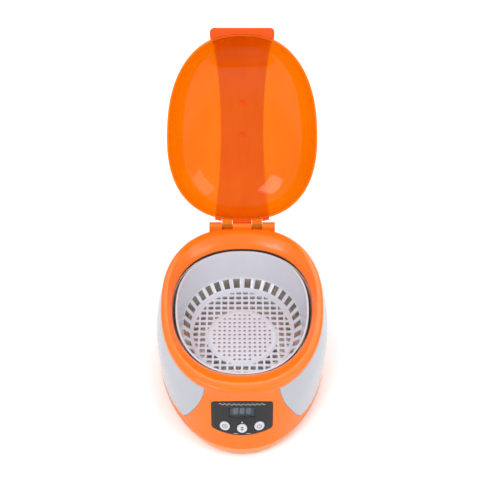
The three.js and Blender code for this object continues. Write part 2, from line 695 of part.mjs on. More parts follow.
// Tank: a drawn steel bowl with a flange, hung under the ring.
function tank() {
  const wallOffset = TANK_CLEARANCE;
  const rings = [tip(vesselEgg(TANK_FLOOR_HEIGHT, 0), TANK_FLOOR_HEIGHT)];
  const outer = [];
  for (const turn of levels(0, Math.PI / 2, 3)) {
    const inset = TANK_CORNER * (1 - Math.sin(turn));
    const rise = TANK_CORNER * (1 - Math.cos(turn));
    const z = TANK_FLOOR_HEIGHT + rise;
    rings.push({ outline: vesselEgg(z, wallOffset - inset), z });
    outer.unshift({ outline: vesselEgg(z, wallOffset - inset + TANK_WALL * Math.sin(turn)),
      z: z - TANK_WALL * Math.cos(turn) });
  }
  const mouth = grown(openingEgg, wallOffset - BASKET_CLEARANCE);
  for (const z of levels(lerp(TANK_FLOOR_HEIGHT, flangeTop, 0.35), flangeTop - 6, 3)) {
    rings.push({ outline: vesselEgg(z, wallOffset), z });
    outer.unshift({ outline: vesselEgg(z, wallOffset + TANK_WALL), z });
  }
  rings.push({ outline: mouth, z: flangeTop });
  rings.push({ outline: grown(openingEgg, GASKET_REACH), z: flangeTop });
  rings.push({ outline: grown(openingEgg, GASKET_REACH), z: flangeUnderside });
  rings.push({ outline: grown(mouth, TANK_WALL), z: flangeUnderside });
  rings.push(...outer);
  rings.push(tip(vesselEgg(TANK_FLOOR_HEIGHT, 0), TANK_FLOOR_HEIGHT - TANK_WALL));
  return solidOf(leaned(eggGeometry(rings)));
}

function tankGasket() {
  const inner = grown(openingEgg, TANK_CLEARANCE - BASKET_CLEARANCE);
  const outer = grown(openingEgg, GASKET_REACH);
  const low = flangeTop + GAP;
  const high = low + GASKET_THICKNESS;
  const rings = [
    { outline: inner, z: low }, { outline: inner, z: high },
    { outline: outer, z: high }, { outline: outer, z: low },
  ];
  return solidOf(leaned(eggGeometry(rings)));
}

function tankClamp(place) {
  const inner = place.y - place.end * (BOSS_RADIUS + CLAMP_STANDOFF + CLAMP_HOOK);
  const outer = place.y + place.end * (BOSS_RADIUS - 0.5);
  const ends = [inner, outer].sort((a, b) => a - b);
  const low = [place.x - CLAMP_WIDTH / 2, ends[0], clampTop - CLAMP_THICKNESS];
  const high = [place.x + CLAMP_WIDTH / 2, ends[1], clampTop];
  const size = [0, 1, 2].map((axis) => high[axis] - low[axis]);
  const middle = [0, 1, 2].map((axis) => (high[axis] + low[axis]) / 2);
  const box = solidOf(leaned(new THREE.BoxGeometry(...size).translate(...middle)));
  const plate = box.intersect(bodySolid(-PANEL_THICKNESS - GAP - WALL - CLAMP_WALL_GAP));
  return plate.subtract(drum(place.x, place.y, clampTop - 20, clampTop + 10, SCREW_RADIUS + GAP));
}

function clampScrew(place) {
  const seat = lean(place.y, clampTop - CLAMP_THICKNESS) - GAP;
  const end = lean(place.y, lipUnderside) + 2;
  const head = drum(place.x, place.y, seat - SCREW_HEAD_HEIGHT, seat, SCREW_HEAD_RADIUS);
  return head.add(drum(place.x, place.y, seat - 1, end, SCREW_RADIUS));
}

// Basket: tapering wall, a slotted shoulder, a floor with a coarse grid round a fine sieve, and feet.
const shoulderInside = shoulderTop + 0.8; // the wall's inner face meets the slope a little higher
const floorInset = BASKET_WALL - 0.1;

function slotCutters() {
  const cutters = [];
  const lowEgg = grown(basketFloorEgg, -BASKET_WALL * 0.75);
  const highEgg = grown(shoulderEgg, -BASKET_WALL / 2);
  const lowZ = (basketUnderside + basketFloor) / 2;
  const highZ = (shoulderTop + shoulderInside) / 2;
  const step = (2 * Math.PI) / SLOT_COUNT;
  for (let i = 0; i < SLOT_COUNT; i += 1) {
    const angle = step * (i + 0.5);
    const low = eggPoint(lowEgg, angle);
    const high = eggPoint(highEgg, angle);
    const reach = high.distanceTo(low);
    const pitch = eggPoint(lowEgg, angle + step / 2).distanceTo(eggPoint(lowEgg, angle - step / 2));
    const length = Math.hypot(reach, highZ - lowZ) - 2 * SLOT_END_BAR;
    const box = new THREE.BoxGeometry(SLOT_SHARE * pitch, length, 4 * BASKET_WALL);
    box.rotateX(Math.atan2(highZ - lowZ, reach));
    box.rotateZ(Math.atan2(high.y - low.y, high.x - low.x) - Math.PI / 2);
    box.translate((low.x + high.x) / 2, (low.y + high.y) / 2, (lowZ + highZ) / 2);
    cutters.push(solidOf(box));
  }
  return cutters;
}

function gridCutters() {
  const cutters = [];
  const floor = basketFloorEgg;
  const front = floor.centre - floor.halfLength + GRID_MARGIN_FRONT;
  const rear = floor.centre + floor.halfLength - GRID_MARGIN_REAR;
  const centre = (front + rear) / 2;
  const halfLength = (rear - front) / 2;
  const halfWidth = floor.halfWidth - GRID_MARGIN_SIDE;
  const sieveY = floor.centre - SIEVE_SETBACK;
  const lines = Math.ceil(Math.max(halfWidth, halfLength) / GRID_PITCH) + 1;
  for (let row = -lines; row < lines; row += 1) {
    const y = sieveY + GRID_PITCH * (row + 0.5);
    for (let column = -lines; column < lines; column += 1) {
      const x = GRID_PITCH * (column + 0.5);
      const edgeX = Math.abs(x) + GRID_HOLE_WIDTH / 2;
      const edgeY = Math.abs(y - centre) + GRID_HOLE_DEPTH / 2;
      const insideGrid = Math.hypot(edgeX / (halfWidth + 2), edgeY / (halfLength + 1)) < 1;
      const nearX = Math.abs(x) - GRID_HOLE_WIDTH / 2;
      const nearY = Math.max(Math.abs(y - sieveY) - GRID_HOLE_DEPTH / 2, 0);
      if (insideGrid && Math.hypot(nearX, nearY) > SIEVE_RADIUS) {
        const box = new THREE.BoxGeometry(GRID_HOLE_WIDTH, GRID_HOLE_DEPTH, 10);
        cutters.push(solidOf(box.translate(x, y, basketFloor)));
      }
    }
  }
  return cutters;
}

function basket() {
  const under = basketUnderside;
  const rings = [tip(basketFloorEgg, under)];
  rings.push({ outline: grown(basketFloorEgg, -1), z: under });
  rings.push({ outline: shoulderEgg, z: shoulderTop });
  rings.push({ outline: basketRimEgg, z: basketRimHeight });
  rings.push({ outline: grown(basketRimEgg, -BASKET_WALL), z: basketRimHeight });
  rings.push({ outline: vesselEgg(shoulderInside, -BASKET_WALL), z: shoulderInside });
  rings.push({ outline: grown(basketFloorEgg, -floorInset), z: basketFloor });
  rings.push(tip(basketFloorEgg, basketFloor));
  let body = solidOf(leaned(eggGeometry(rings)));
  for (const cutter of [...slotCutters(), ...gridCutters()]) {
    body = body.subtract(cutter);
  }
  const footEgg = grown(basketFloorEgg, -GRID_MARGIN_SIDE);
  for (const angle of [35, 145, 215, 325]) {
    const place = eggPoint(footEgg, THREE.MathUtils.degToRad(angle));
    body = body.add(drum(place.x, place.y, TANK_FLOOR_HEIGHT + GAP, under + 1, BASKET_FOOT_RADIUS, 12));
  }
  return body;
}

// The lid is built about its hinge axis, closed and level, its rim lying HINGE_RISE below the axis.
const lidRimZ = GAP - HINGE_RISE;
const lidLocalEgg = { ...lidEgg, centre: lidEgg.centre - hingeY };
const DOME_POWER = 2.25;

function domeRings(offset, low) {
  const steps = levels(0, Math.PI / 2, DOME_LEVELS + 1).slice(0, -1);
  const rings = steps.map((turn) => {
    const shrink = Math.cos(turn) ** (2 / DOME_POWER);
    const rise = Math.sin(turn) ** (2 / DOME_POWER);
    return { outline: scaled(grown(lidLocalEgg, offset), shrink), z: lidRimZ + 2 + (LID_RISE - 2 + offset) * rise };
  });
  const apex = tip(lidLocalEgg, lidRimZ + LID_RISE + offset);
  return [{ outline: grown(lidLocalEgg, offset), z: low }, ...rings, apex];
}

function domeSolid(offset, low) {
  return solidOf(eggGeometry([tip(lidLocalEgg, low), ...domeRings(offset, low)]));
}

// Height of the dome's outside on the middle plane, y measured from the hinge.
function domeHeight(y) {
  const share = Math.abs(y - lidLocalEgg.centre) / lidLocalEgg.halfLength;
  return lidRimZ + 2 + (LID_RISE - 2) * (1 - share ** DOME_POWER) ** (1 / DOME_POWER);
}

const studPlaces = [-1, 1].map((end) => lidLocalEgg.centre + (end * STUD_SPACING) / 2);

function studBores() {
  return studPlaces.map((y) => drum(0, y, 0, LID_RISE + 10, STUD_RADIUS + GAP));
}

function lidDome() {
  const outside = domeRings(0, lidRimZ).reverse();
  const inside = domeRings(-LID_WALL, lidRimZ);
  let dome = solidOf(eggGeometry([...outside, ...inside]));
  const reach = lidSetback + LID_WALL + 1;
  const shape = new THREE.Shape();
  shape.moveTo(-reach, lidRimZ);
  shape.lineTo(-Math.sqrt(LUG_RADIUS ** 2 - lidRimZ ** 2), lidRimZ);
  shape.absarc(0, 0, LUG_RADIUS, Math.PI + Math.asin(-lidRimZ / LUG_RADIUS), 2 * Math.PI + 2, false);
  shape.lineTo(-reach, 5);
  const cavity = domeSolid(-LID_WALL, lidRimZ - 2);
  for (const side of [-1, 1]) {
    const edges = [side * LUG_NEAR, side * LUG_FAR].sort((a, b) => a - b);
    dome = dome.add(crossPrism(shape, edges[0], edges[1], 16).subtract(cavity));
  }
  const bore = barAlongX(-LUG_FAR - 2, LUG_FAR + 2, 0, 0, HINGE_PIN_RADIUS + GAP);
  return studBores().reduce((whole, hole) => whole.subtract(hole), dome.subtract(bore));
}

function lidStrap() {
  const rear = lidLocalEgg.centre + lidLocalEgg.halfLength + STRAP_THICKNESS + 1;
  const front = lidLocalEgg.centre - lidLocalEgg.halfLength;
  const waist = 2 * STRAP_HALF_MIDDLE - (STRAP_HALF_REAR + STRAP_HALF_FRONT) / 2;
  const band = new THREE.Shape();
  band.moveTo(-STRAP_HALF_REAR, rear);
  band.quadraticCurveTo(-waist, (rear + front) / 2, -STRAP_HALF_FRONT, front - TAB_REACH);
  band.lineTo(STRAP_HALF_FRONT, front - TAB_REACH);
  band.quadraticCurveTo(waist, (rear + front) / 2, STRAP_HALF_REAR, rear);
  const skin = domeSolid(GAP + STRAP_THICKNESS, lidRimZ).subtract(domeSolid(GAP, lidRimZ - 1));
  let strap = skin.intersect(solidOf(prism(band, lidRimZ - 2, LID_RISE + 10, 12)));
  // Finger tab past the lid's front edge.
  const tab = new THREE.Shape();
  tab.moveTo(-STRAP_HALF_FRONT, front + 12);
  tab.lineTo(-STRAP_HALF_FRONT, front - TAB_REACH + 5);
  tab.quadraticCurveTo(-STRAP_HALF_FRONT + 1, front - TAB_REACH + 1, -STRAP_HALF_FRONT + 8, front - TAB_REACH + 0.6);
  tab.quadraticCurveTo(0, front - TAB_REACH - 0.6, STRAP_HALF_FRONT - 8, front - TAB_REACH + 0.6);
  tab.quadraticCurveTo(STRAP_HALF_FRONT - 1, front - TAB_REACH + 1, STRAP_HALF_FRONT, front - TAB_REACH + 5);
  tab.lineTo(STRAP_HALF_FRONT, front + 12);
  const lip = solidOf(prism(tab, lidRimZ + GAP, lidRimZ + TAB_THICKNESS, 6));
  strap = strap.add(lip.subtract(domeSolid(GAP, lidRimZ - 1)));
  for (const side of [-1, 1]) {
    const edges = [side * (LUG_NEAR - 0.4), side * (LUG_FAR + 0.4)].sort((a, b) => a - b);
    const notch = block([edges[0], -lidSetback - LID_WALL - 6, lidRimZ - 2], [edges[1], 4, 6.4]);
    strap = strap.subtract(notch);
  }
  return studBores().reduce((whole, hole) => whole.subtract(hole), strap);
}

function strapStud(y) {
  const top = domeHeight(y) + GAP + STRAP_THICKNESS - 0.6;
  const seat = domeHeight(y) - LID_WALL - 0.5;
  const head = drum(0, y, seat - STUD_HEAD_HEIGHT, seat, STUD_HEAD_RADIUS, 16);
  return head.add(drum(0, y, seat - 0.5, top, STUD_RADIUS, 16));
}

// Control panel pieces.
function fascia() {
  const skin = bodySolid(FASCIA_PROUD).subtract(bodySolid(-FASCIA_DEPTH));
  let plate = skin.intersect(consolePrism(fasciaShape(0), -12, 12));
  for (const place of buttonPlaces) {
    plate = plate.subtract(consoleDrum(place.u, place.v, -12, 12, BUTTON_RADIUS + BUTTON_CLEARANCE));
  }
  return plate.subtract(consolePrism(rectangle(0, windowV, WINDOW_WIDTH + 2 * GAP, WINDOW_HEIGHT + 2 * GAP), -12, 12));
}

function displayWindow() {
  const skin = bodySolid(FASCIA_PROUD - 0.1).subtract(bodySolid(-WINDOW_DEPTH));
  return skin.intersect(consolePrism(rectangle(0, windowV, WINDOW_WIDTH, WINDOW_HEIGHT), -12, 12));
}

const plungerEnd = boardFace + SWITCH_HEIGHT + 2.4;

function button(place) {
  const cap = consoleDrum(place.u, place.v, -BUTTON_DEPTH, 12, BUTTON_RADIUS);
  const plunger = consoleDrum(place.u, place.v, plungerEnd, 1 - BUTTON_DEPTH, PLUNGER_RADIUS);
  return cap.intersect(bodySolid(BUTTON_PROUD)).add(plunger);
}

// A flat part in the console's frame, between two depths.
function consolePlate(u, v, width, height, low, high) {
  return solidOf(prism(rectangle(u, v, width, height), low, high));
}

function controlBoard() {
  const half = BOARD_THICKNESS / 2;
  const low = -BOARD_DEPTH - half;
  const high = -BOARD_DEPTH + half;
  let board = consolePlate(0, 0, CONTROL_BOARD_WIDTH, CONTROL_BOARD_HEIGHT, low, high);
  for (const side of [-1, 1]) {
    board = board.subtract(drum(side * boardPostU, 0, low - 1, high + 1, SCREW_RADIUS));
  }
  return board;
}

function tactSwitch(place) {
  const low = boardFace + GAP;
  const body = consolePlate(place.u, place.v, SWITCH_SIZE, SWITCH_SIZE, low, low + SWITCH_HEIGHT);
  return body.add(drum(place.u, place.v, low + 1, low + SWITCH_HEIGHT + 0.7, PLUNGER_RADIUS, 12));
}

function boardScrew(side) {
  const under = -BOARD_DEPTH - BOARD_THICKNESS / 2 - GAP;
  const head = drum(side * boardPostU, 0, under - SCREW_HEAD_HEIGHT, under, SCREW_HEAD_RADIUS - 0.4);
  return head.add(drum(side * boardPostU, 0, under - 1, -9, SCREW_RADIUS - 0.7, 12));
}

// Driver board and what is soldered on it.
const boardTop = DRIVER_BOARD_HEIGHT + BOARD_THICKNESS;
const driverMiddle = (driverFront + driverRear) / 2;

function driverBoard() {
  const half = DRIVER_BOARD_WIDTH / 2;
  return block([-half, driverFront, DRIVER_BOARD_HEIGHT], [half, driverRear, boardTop]);
}

// A block standing on the driver board, its length across the board's middle line.
function onBoard(left, right, length, standoff, height) {
  const foot = boardTop + GAP + standoff;
  return block([left, driverMiddle - length / 2, foot], [right, driverMiddle + length / 2, foot + height]);
}

function heatSink() {
  const finRoot = HEAT_SINK_PLACE + HEAT_SINK_PLATE;
  let sink = onBoard(HEAT_SINK_PLACE, finRoot, HEAT_SINK_SIZE, 0, HEAT_SINK_SIZE);
  const half = (HEAT_SINK_SIZE - FIN_THICKNESS) / 2;
  for (const y of levels(-half, half, FIN_COUNT)) {
    const fin = onBoard(finRoot - 1, finRoot + FIN_REACH, FIN_THICKNESS, 0, HEAT_SINK_SIZE);
    sink = sink.add(fin.translate([0, y, 0]));
  }
  return sink;
}

function transistor() {
  const face = HEAT_SINK_PLACE - GAP;
  return onBoard(face - TRANSISTOR_THICKNESS, face, TRANSISTOR_WIDTH, TRANSISTOR_STANDOFF, TRANSISTOR_HEIGHT);
}

function transformer() {
  const x = TRANSFORMER_PLACE;
  const core = onBoard(x - CORE_WIDTH / 2, x + CORE_WIDTH / 2, CORE_LENGTH, CORE_STANDOFF, CORE_HEIGHT);
  return core.add(onBoard(x - BOBBIN_WIDTH / 2, x + BOBBIN_WIDTH / 2, BOBBIN_LENGTH, 0, BOBBIN_HEIGHT));
}

function capacitor() {
  const foot = boardTop + GAP;
  return drum(CAPACITOR_PLACE, driverMiddle, foot, foot + CAPACITOR_HEIGHT, CAPACITOR_RADIUS);
}

function fuse() {
  const ends = [-1, 1].map((end) => FUSE_PLACE + (end * FUSE_LENGTH) / 2);
  return barAlongX(...ends, driverMiddle, boardTop + 2 * GAP + FUSE_RADIUS, FUSE_RADIUS);
}

// A lead or ribbon: an outline pulled along a smooth route.
function lead(points, shape, steps) {
  const path = new THREE.CatmullRomCurve3(points.map((point) => new THREE.Vector3(...point)));
  return solidOf(new THREE.ExtrudeGeometry(shape, { steps, bevelEnabled: false, extrudePath: path, curveSegments: 2 }));
}

function roundShape(radius) {
  const shape = new THREE.Shape();
  shape.absarc(0, 0, radius, 0, 2 * Math.PI, false);
  return shape;
}

const transducerCentre = basketFloorEgg.centre - SIEVE_SETBACK;
const transducerTop = TANK_FLOOR_HEIGHT - TANK_WALL - GAP;
const piezoTop = transducerTop - TRANSDUCER_THICKNESS - GAP;

function transducerLead() {
  const low = piezoTop - PIEZO_THICKNESS - 1.4;
  const start = [6, transducerCentre - 12, low];
  const points = [start, [7, transducerCentre - 30, low - 2], [9, driverRear + 8, 15.5],
    [9, driverRear - 2, boardTop + 1.6], [9, driverRear - 8, boardTop + 1.4]];
  return lead(points, roundShape(LEAD_RADIUS), 14);
}

// Mains inlet: a moulded socket with a figure-eight pocket and two pins.
function inletPocket() {
  const half = INLET_PIN_SPACING / 2;
  const shape = new THREE.Shape();
  shape.absarc(half, 0, INLET_POCKET_RADIUS, -Math.PI / 2, Math.PI / 2, false);
  shape.absarc(-half, 0, INLET_POCKET_RADIUS, Math.PI / 2, 1.5 * Math.PI, false);
  const geometry = prism(shape, 0, INLET_POCKET_DEPTH + 10, 10);
  geometry.rotateX(-Math.PI / 2);
  geometry.translate(0, inletFaceY + INLET_PROUD - INLET_POCKET_DEPTH, INLET_HEIGHT);
  return solidOf(geometry);
}

function inletSocket() {
  const halfWidth = INLET_WIDTH / 2;
  const halfTall = INLET_TALL / 2;
  const face = inletFaceY + INLET_PROUD;
  const body = block([-halfWidth, face - INLET_DEPTH, INLET_HEIGHT - halfTall], [halfWidth, face, INLET_HEIGHT + halfTall]);
  const flange = block(
    [-halfWidth - INLET_FLANGE, face - INLET_FLANGE_THICKNESS, INLET_HEIGHT - halfTall - INLET_FLANGE_TALL],
    [halfWidth + INLET_FLANGE, face, INLET_HEIGHT + halfTall + INLET_FLANGE_TALL]);
  const clear = bodySolid(GAP);
  let socket = body.add(flange.subtract(clear)).subtract(inletPocket());
  for (const side of [-1, 1]) {
    socket = socket.subtract(inletPinBar(side, GAP));
  }
  return socket;
}

function inletPinBar(side, grow) {
  const root = inletFaceY + INLET_PROUD - INLET_POCKET_DEPTH - INLET_PIN_ROOT - grow;
  const length = INLET_PIN_LENGTH + INLET_PIN_ROOT + grow;
  const geometry = new THREE.CylinderGeometry(INLET_PIN_RADIUS + grow, INLET_PIN_RADIUS + grow, length, 12);
  geometry.translate((side * INLET_PIN_SPACING) / 2, root + length / 2, INLET_HEIGHT);
  return solidOf(geometry);
}

const footPlaces = [-1, 1].flatMap((side) => [rimFront + FOOT_INSET_FRONT, rimRear - FOOT_INSET_REAR].map(
  (y) => ({ x: side * (RIM_HALF_WIDTH - FOOT_INSET_SIDE), y })));

function coverScrew(place) {
  const seat = COVER_UNDERSIDE - GAP;
  const head = drum(place.x, place.y, seat - SCREW_HEAD_HEIGHT, seat, SCREW_HEAD_RADIUS);
  return head.add(drum(place.x, place.y, seat - 1, BOSS_TOP - 6, SCREW_RADIUS, 12));
}

function screwFinish() {
  return finish(0xb9bcc0, 0.35, 0.9);
}

// The fixed pieces.
const base = new THREE.Group();
base.add(piece('upper_housing', upperHousing(), finish(ORANGE, 0.3)));
base.add(piece('side_panel_left', sidePanel(-1), finish(WHITE, 0.3)));
base.add(piece('side_panel_right', sidePanel(1), finish(WHITE, 0.3)));
base.add(piece('bottom_cover', bottomCover(), finish(ORANGE, 0.4)));
footPlaces.forEach((place, i) => {
  const foot = drum(place.x, place.y, 0, COVER_UNDERSIDE - GAP, FOOT_RADIUS, 24);
  base.add(piece(`foot_${i + 1}`, foot, finish(0x2a2a2c, 0.85)));
});
coverScrews.forEach((place, i) => {
  base.add(piece(`cover_screw_${i + 1}`, coverScrew(place), screwFinish()));
});
base.add(piece('tank', tank(), finish(0xc4c7ca, 0.25, 0.95)));
base.add(piece('tank_gasket', tankGasket(), finish(0x3a3a3c, 0.8)));
clampPlaces.forEach((place, i) => {
  base.add(piece(`tank_clamp_${i + 1}`, tankClamp(place), finish(0xb0b3b6, 0.4, 0.9)));
  base.add(piece(`clamp_screw_${i + 1}`, clampScrew(place), screwFinish()));
});
const plate = drum(0, transducerCentre, piezoTop + GAP, transducerTop, TRANSDUCER_RADIUS, 32);
base.add(piece('transducer_plate', plate, finish(0xb8babd, 0.4, 0.9)));
const piezo = drum(0, transducerCentre, piezoTop - PIEZO_THICKNESS, piezoTop, PIEZO_RADIUS, 32);
base.add(piece('piezo_disc', piezo, finish(0xd8d2c4, 0.5)));
base.add(piece('transducer_lead', transducerLead(), finish(0xb0322a, 0.5)));
base.add(piece('driver_board', driverBoard(), finish(0x2f6b3f, 0.5)));
base.add(piece('transformer', transformer(), finish(0x6b6256, 0.6)));
base.add(piece('heat_sink', heatSink(), finish(0xa8abae, 0.4, 0.9)));
base.add(piece('power_transistor', transistor(), finish(0x222326, 0.5)));
base.add(piece('filter_capacitor', capacitor(), finish(0x2d3340, 0.4)));
base.add(piece('fuse', fuse(), finish(0xcfd3d6, 0.2)));
base.add(piece('inlet_socket', inletSocket(), finish(0x1f2022, 0.5)));
base.add(piece('inlet_pin_left', inletPinBar(-1, 0), finish(0xc9b77a, 0.3, 0.9)));
base.add(piece('inlet_pin_right', inletPinBar(1, 0), finish(0xc9b77a, 0.3, 0.9)));
const pin = barAlongX(-HINGE_PIN_HALF_LENGTH, HINGE_PIN_HALF_LENGTH, hingeY, hingeZ, HINGE_PIN_RADIUS);
base.add(piece('hinge_pin', pin, screwFinish()));
base.add(piece('control_panel', fascia(), finish(0x35302f, 0.35)));
base.add(piece('display_window', displayWindow(), clearFinish(0x55595f, 0.5)));

// The control board and its parts, in the console's frame.
const consoleGroup = new THREE.Group();
consoleGroup.applyMatrix4(consoleFrame);
consoleGroup.add(piece('control_board', controlBoard(), finish(0x2f6b3f, 0.5)));
const displayFoot = boardFace + GAP;
const display = consolePlate(0, windowV, DISPLAY_WIDTH, DISPLAY_HEIGHT, displayFoot, -DISPLAY_FACE_DEPTH);
consoleGroup.add(piece('display_module', display, finish(0x4a4d52, 0.5)));
for (const place of buttonPlaces) {
  consoleGroup.add(piece(`switch_${place.name}`, tactSwitch(place), finish(0x2a2b2e, 0.5)));
}
for (const side of [-1, 1]) {
  consoleGroup.add(piece(side < 0 ? 'board_screw_left' : 'board_screw_right', boardScrew(side), screwFinish()));
}

// The moving pieces.
const buttons = new THREE.Group();
for (const place of buttonPlaces) {
  buttons.add(piece(`button_${place.name}`, button(place), finish(0xe8e8ea, 0.35)));
}
const basketGroup = new THREE.Group();
basketGroup.add(piece('basket', basket(), finish(WHITE, 0.4)));

const lid = new THREE.Group();
lid.position.set(0, hingeY, hingeZ);
lid.rotation.x = RIM_SLOPE - LID_OPEN_ANGLE;
lid.add(piece('lid_dome', lidDome(), clearFinish(CLEAR_ORANGE, 0.7)));
lid.add(piece('lid_strap', lidStrap(), finish(ORANGE, 0.3)));
studPlaces.forEach((y, i) => {
  lid.add(piece(`strap_stud_${i + 1}`, strapStud(y), screwFinish()));
});

const cleaner = new THREE.Group();
cleaner.add(base, consoleGroup, buttons, basketGroup, lid);
const bounds = new THREE.Box3().setFromObject(cleaner, true);
cleaner.position.y = -(bounds.min.y + bounds.max.y) / 2;

export default cleaner;
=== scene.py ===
"""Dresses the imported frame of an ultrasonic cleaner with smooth, finished pieces."""

import logging
import math
from dataclasses import dataclass, field, replace
from enum import Enum
from typing import Any, Callable, Iterable, Optional, Sequence, Union

import bmesh
import bpy
import numpy as np
from mathutils import Matrix, Vector
from mathutils.geometry import delaunay_2d_cdt


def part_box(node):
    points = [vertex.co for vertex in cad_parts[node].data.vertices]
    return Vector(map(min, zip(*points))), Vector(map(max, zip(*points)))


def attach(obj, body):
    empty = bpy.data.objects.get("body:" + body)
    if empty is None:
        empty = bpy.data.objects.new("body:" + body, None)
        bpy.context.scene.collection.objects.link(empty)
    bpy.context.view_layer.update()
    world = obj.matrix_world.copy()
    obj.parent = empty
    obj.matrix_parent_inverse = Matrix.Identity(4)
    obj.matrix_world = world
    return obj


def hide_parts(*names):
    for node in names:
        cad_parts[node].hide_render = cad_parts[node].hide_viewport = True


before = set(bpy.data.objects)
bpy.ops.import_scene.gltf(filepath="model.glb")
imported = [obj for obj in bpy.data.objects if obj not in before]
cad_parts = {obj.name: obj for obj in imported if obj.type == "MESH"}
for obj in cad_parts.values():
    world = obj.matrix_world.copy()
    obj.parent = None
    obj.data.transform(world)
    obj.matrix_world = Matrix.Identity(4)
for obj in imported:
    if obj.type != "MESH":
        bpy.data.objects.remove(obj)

LOG = logging.getLogger("cleaner")
MM = 0.001

Array = np.ndarray
Number = Union[float, Array]
Colour = tuple[float, float, float]
Face = tuple[int, ...]


def linear(hex_colour: int) -> Colour:
    """Turn a screen colour into the linear one that shaders use.

    Args:
        hex_colour: The colour as 0xRRGGBB.

    Returns:
        Red, green and blue from 0 to 1.
    """
    parts = [((hex_colour >> shift) & 255) / 255 for shift in (16, 8, 0)]
    low = [part / 12.92 for part in parts]
    high = [((part + 0.055) / 1.055) ** 2.4 for part in parts]
    return tuple(a if part <= 0.04045 else b for part, a, b in zip(parts, low, high))


# ---------------------------------------------------------------- shader building


class Flow:
    """A shader value that takes ordinary arithmetic."""

    def __init__(self, paint: "Paint", socket: Any) -> None:
        """Wrap an output socket of a paint's node tree."""
        self.paint = paint
        self.socket = socket

    def _math(self, operation: str, first: Any, second: Any) -> "Flow":
        """Add one Math node.

        Args:
            operation: The Math node's operation.
            first: The left value or flow.
            second: The right value or flow.

        Returns:
            The node's result.
        """
        settings = {"operation": operation}
        return self.paint.node("ShaderNodeMath", settings, {0: first, 1: second})

    def __add__(self, other: Any) -> "Flow":
        """Add a value."""
        return self._math("ADD", self, other)

    def __radd__(self, other: Any) -> "Flow":
        """Add to a value."""
        return self._math("ADD", other, self)

    def __sub__(self, other: Any) -> "Flow":
        """Take a value away."""
        return self._math("SUBTRACT", self, other)

    def __rsub__(self, other: Any) -> "Flow":
        """Take this from a value."""
        return self._math("SUBTRACT", other, self)

    def __mul__(self, other: Any) -> "Flow":
        """Multiply by a value."""
        return self._math("MULTIPLY", self, other)

    def __rmul__(self, other: Any) -> "Flow":
        """Multiply a value."""
        return self._math("MULTIPLY", other, self)

    def __pow__(self, other: Any) -> "Flow":
        """Raise to a power."""
        return self._math("POWER", self, other)

    def above(self, edge: float) -> "Flow":
        """Give 1 where this is above an edge and 0 elsewhere."""
        return self._math("GREATER_THAN", self, edge)


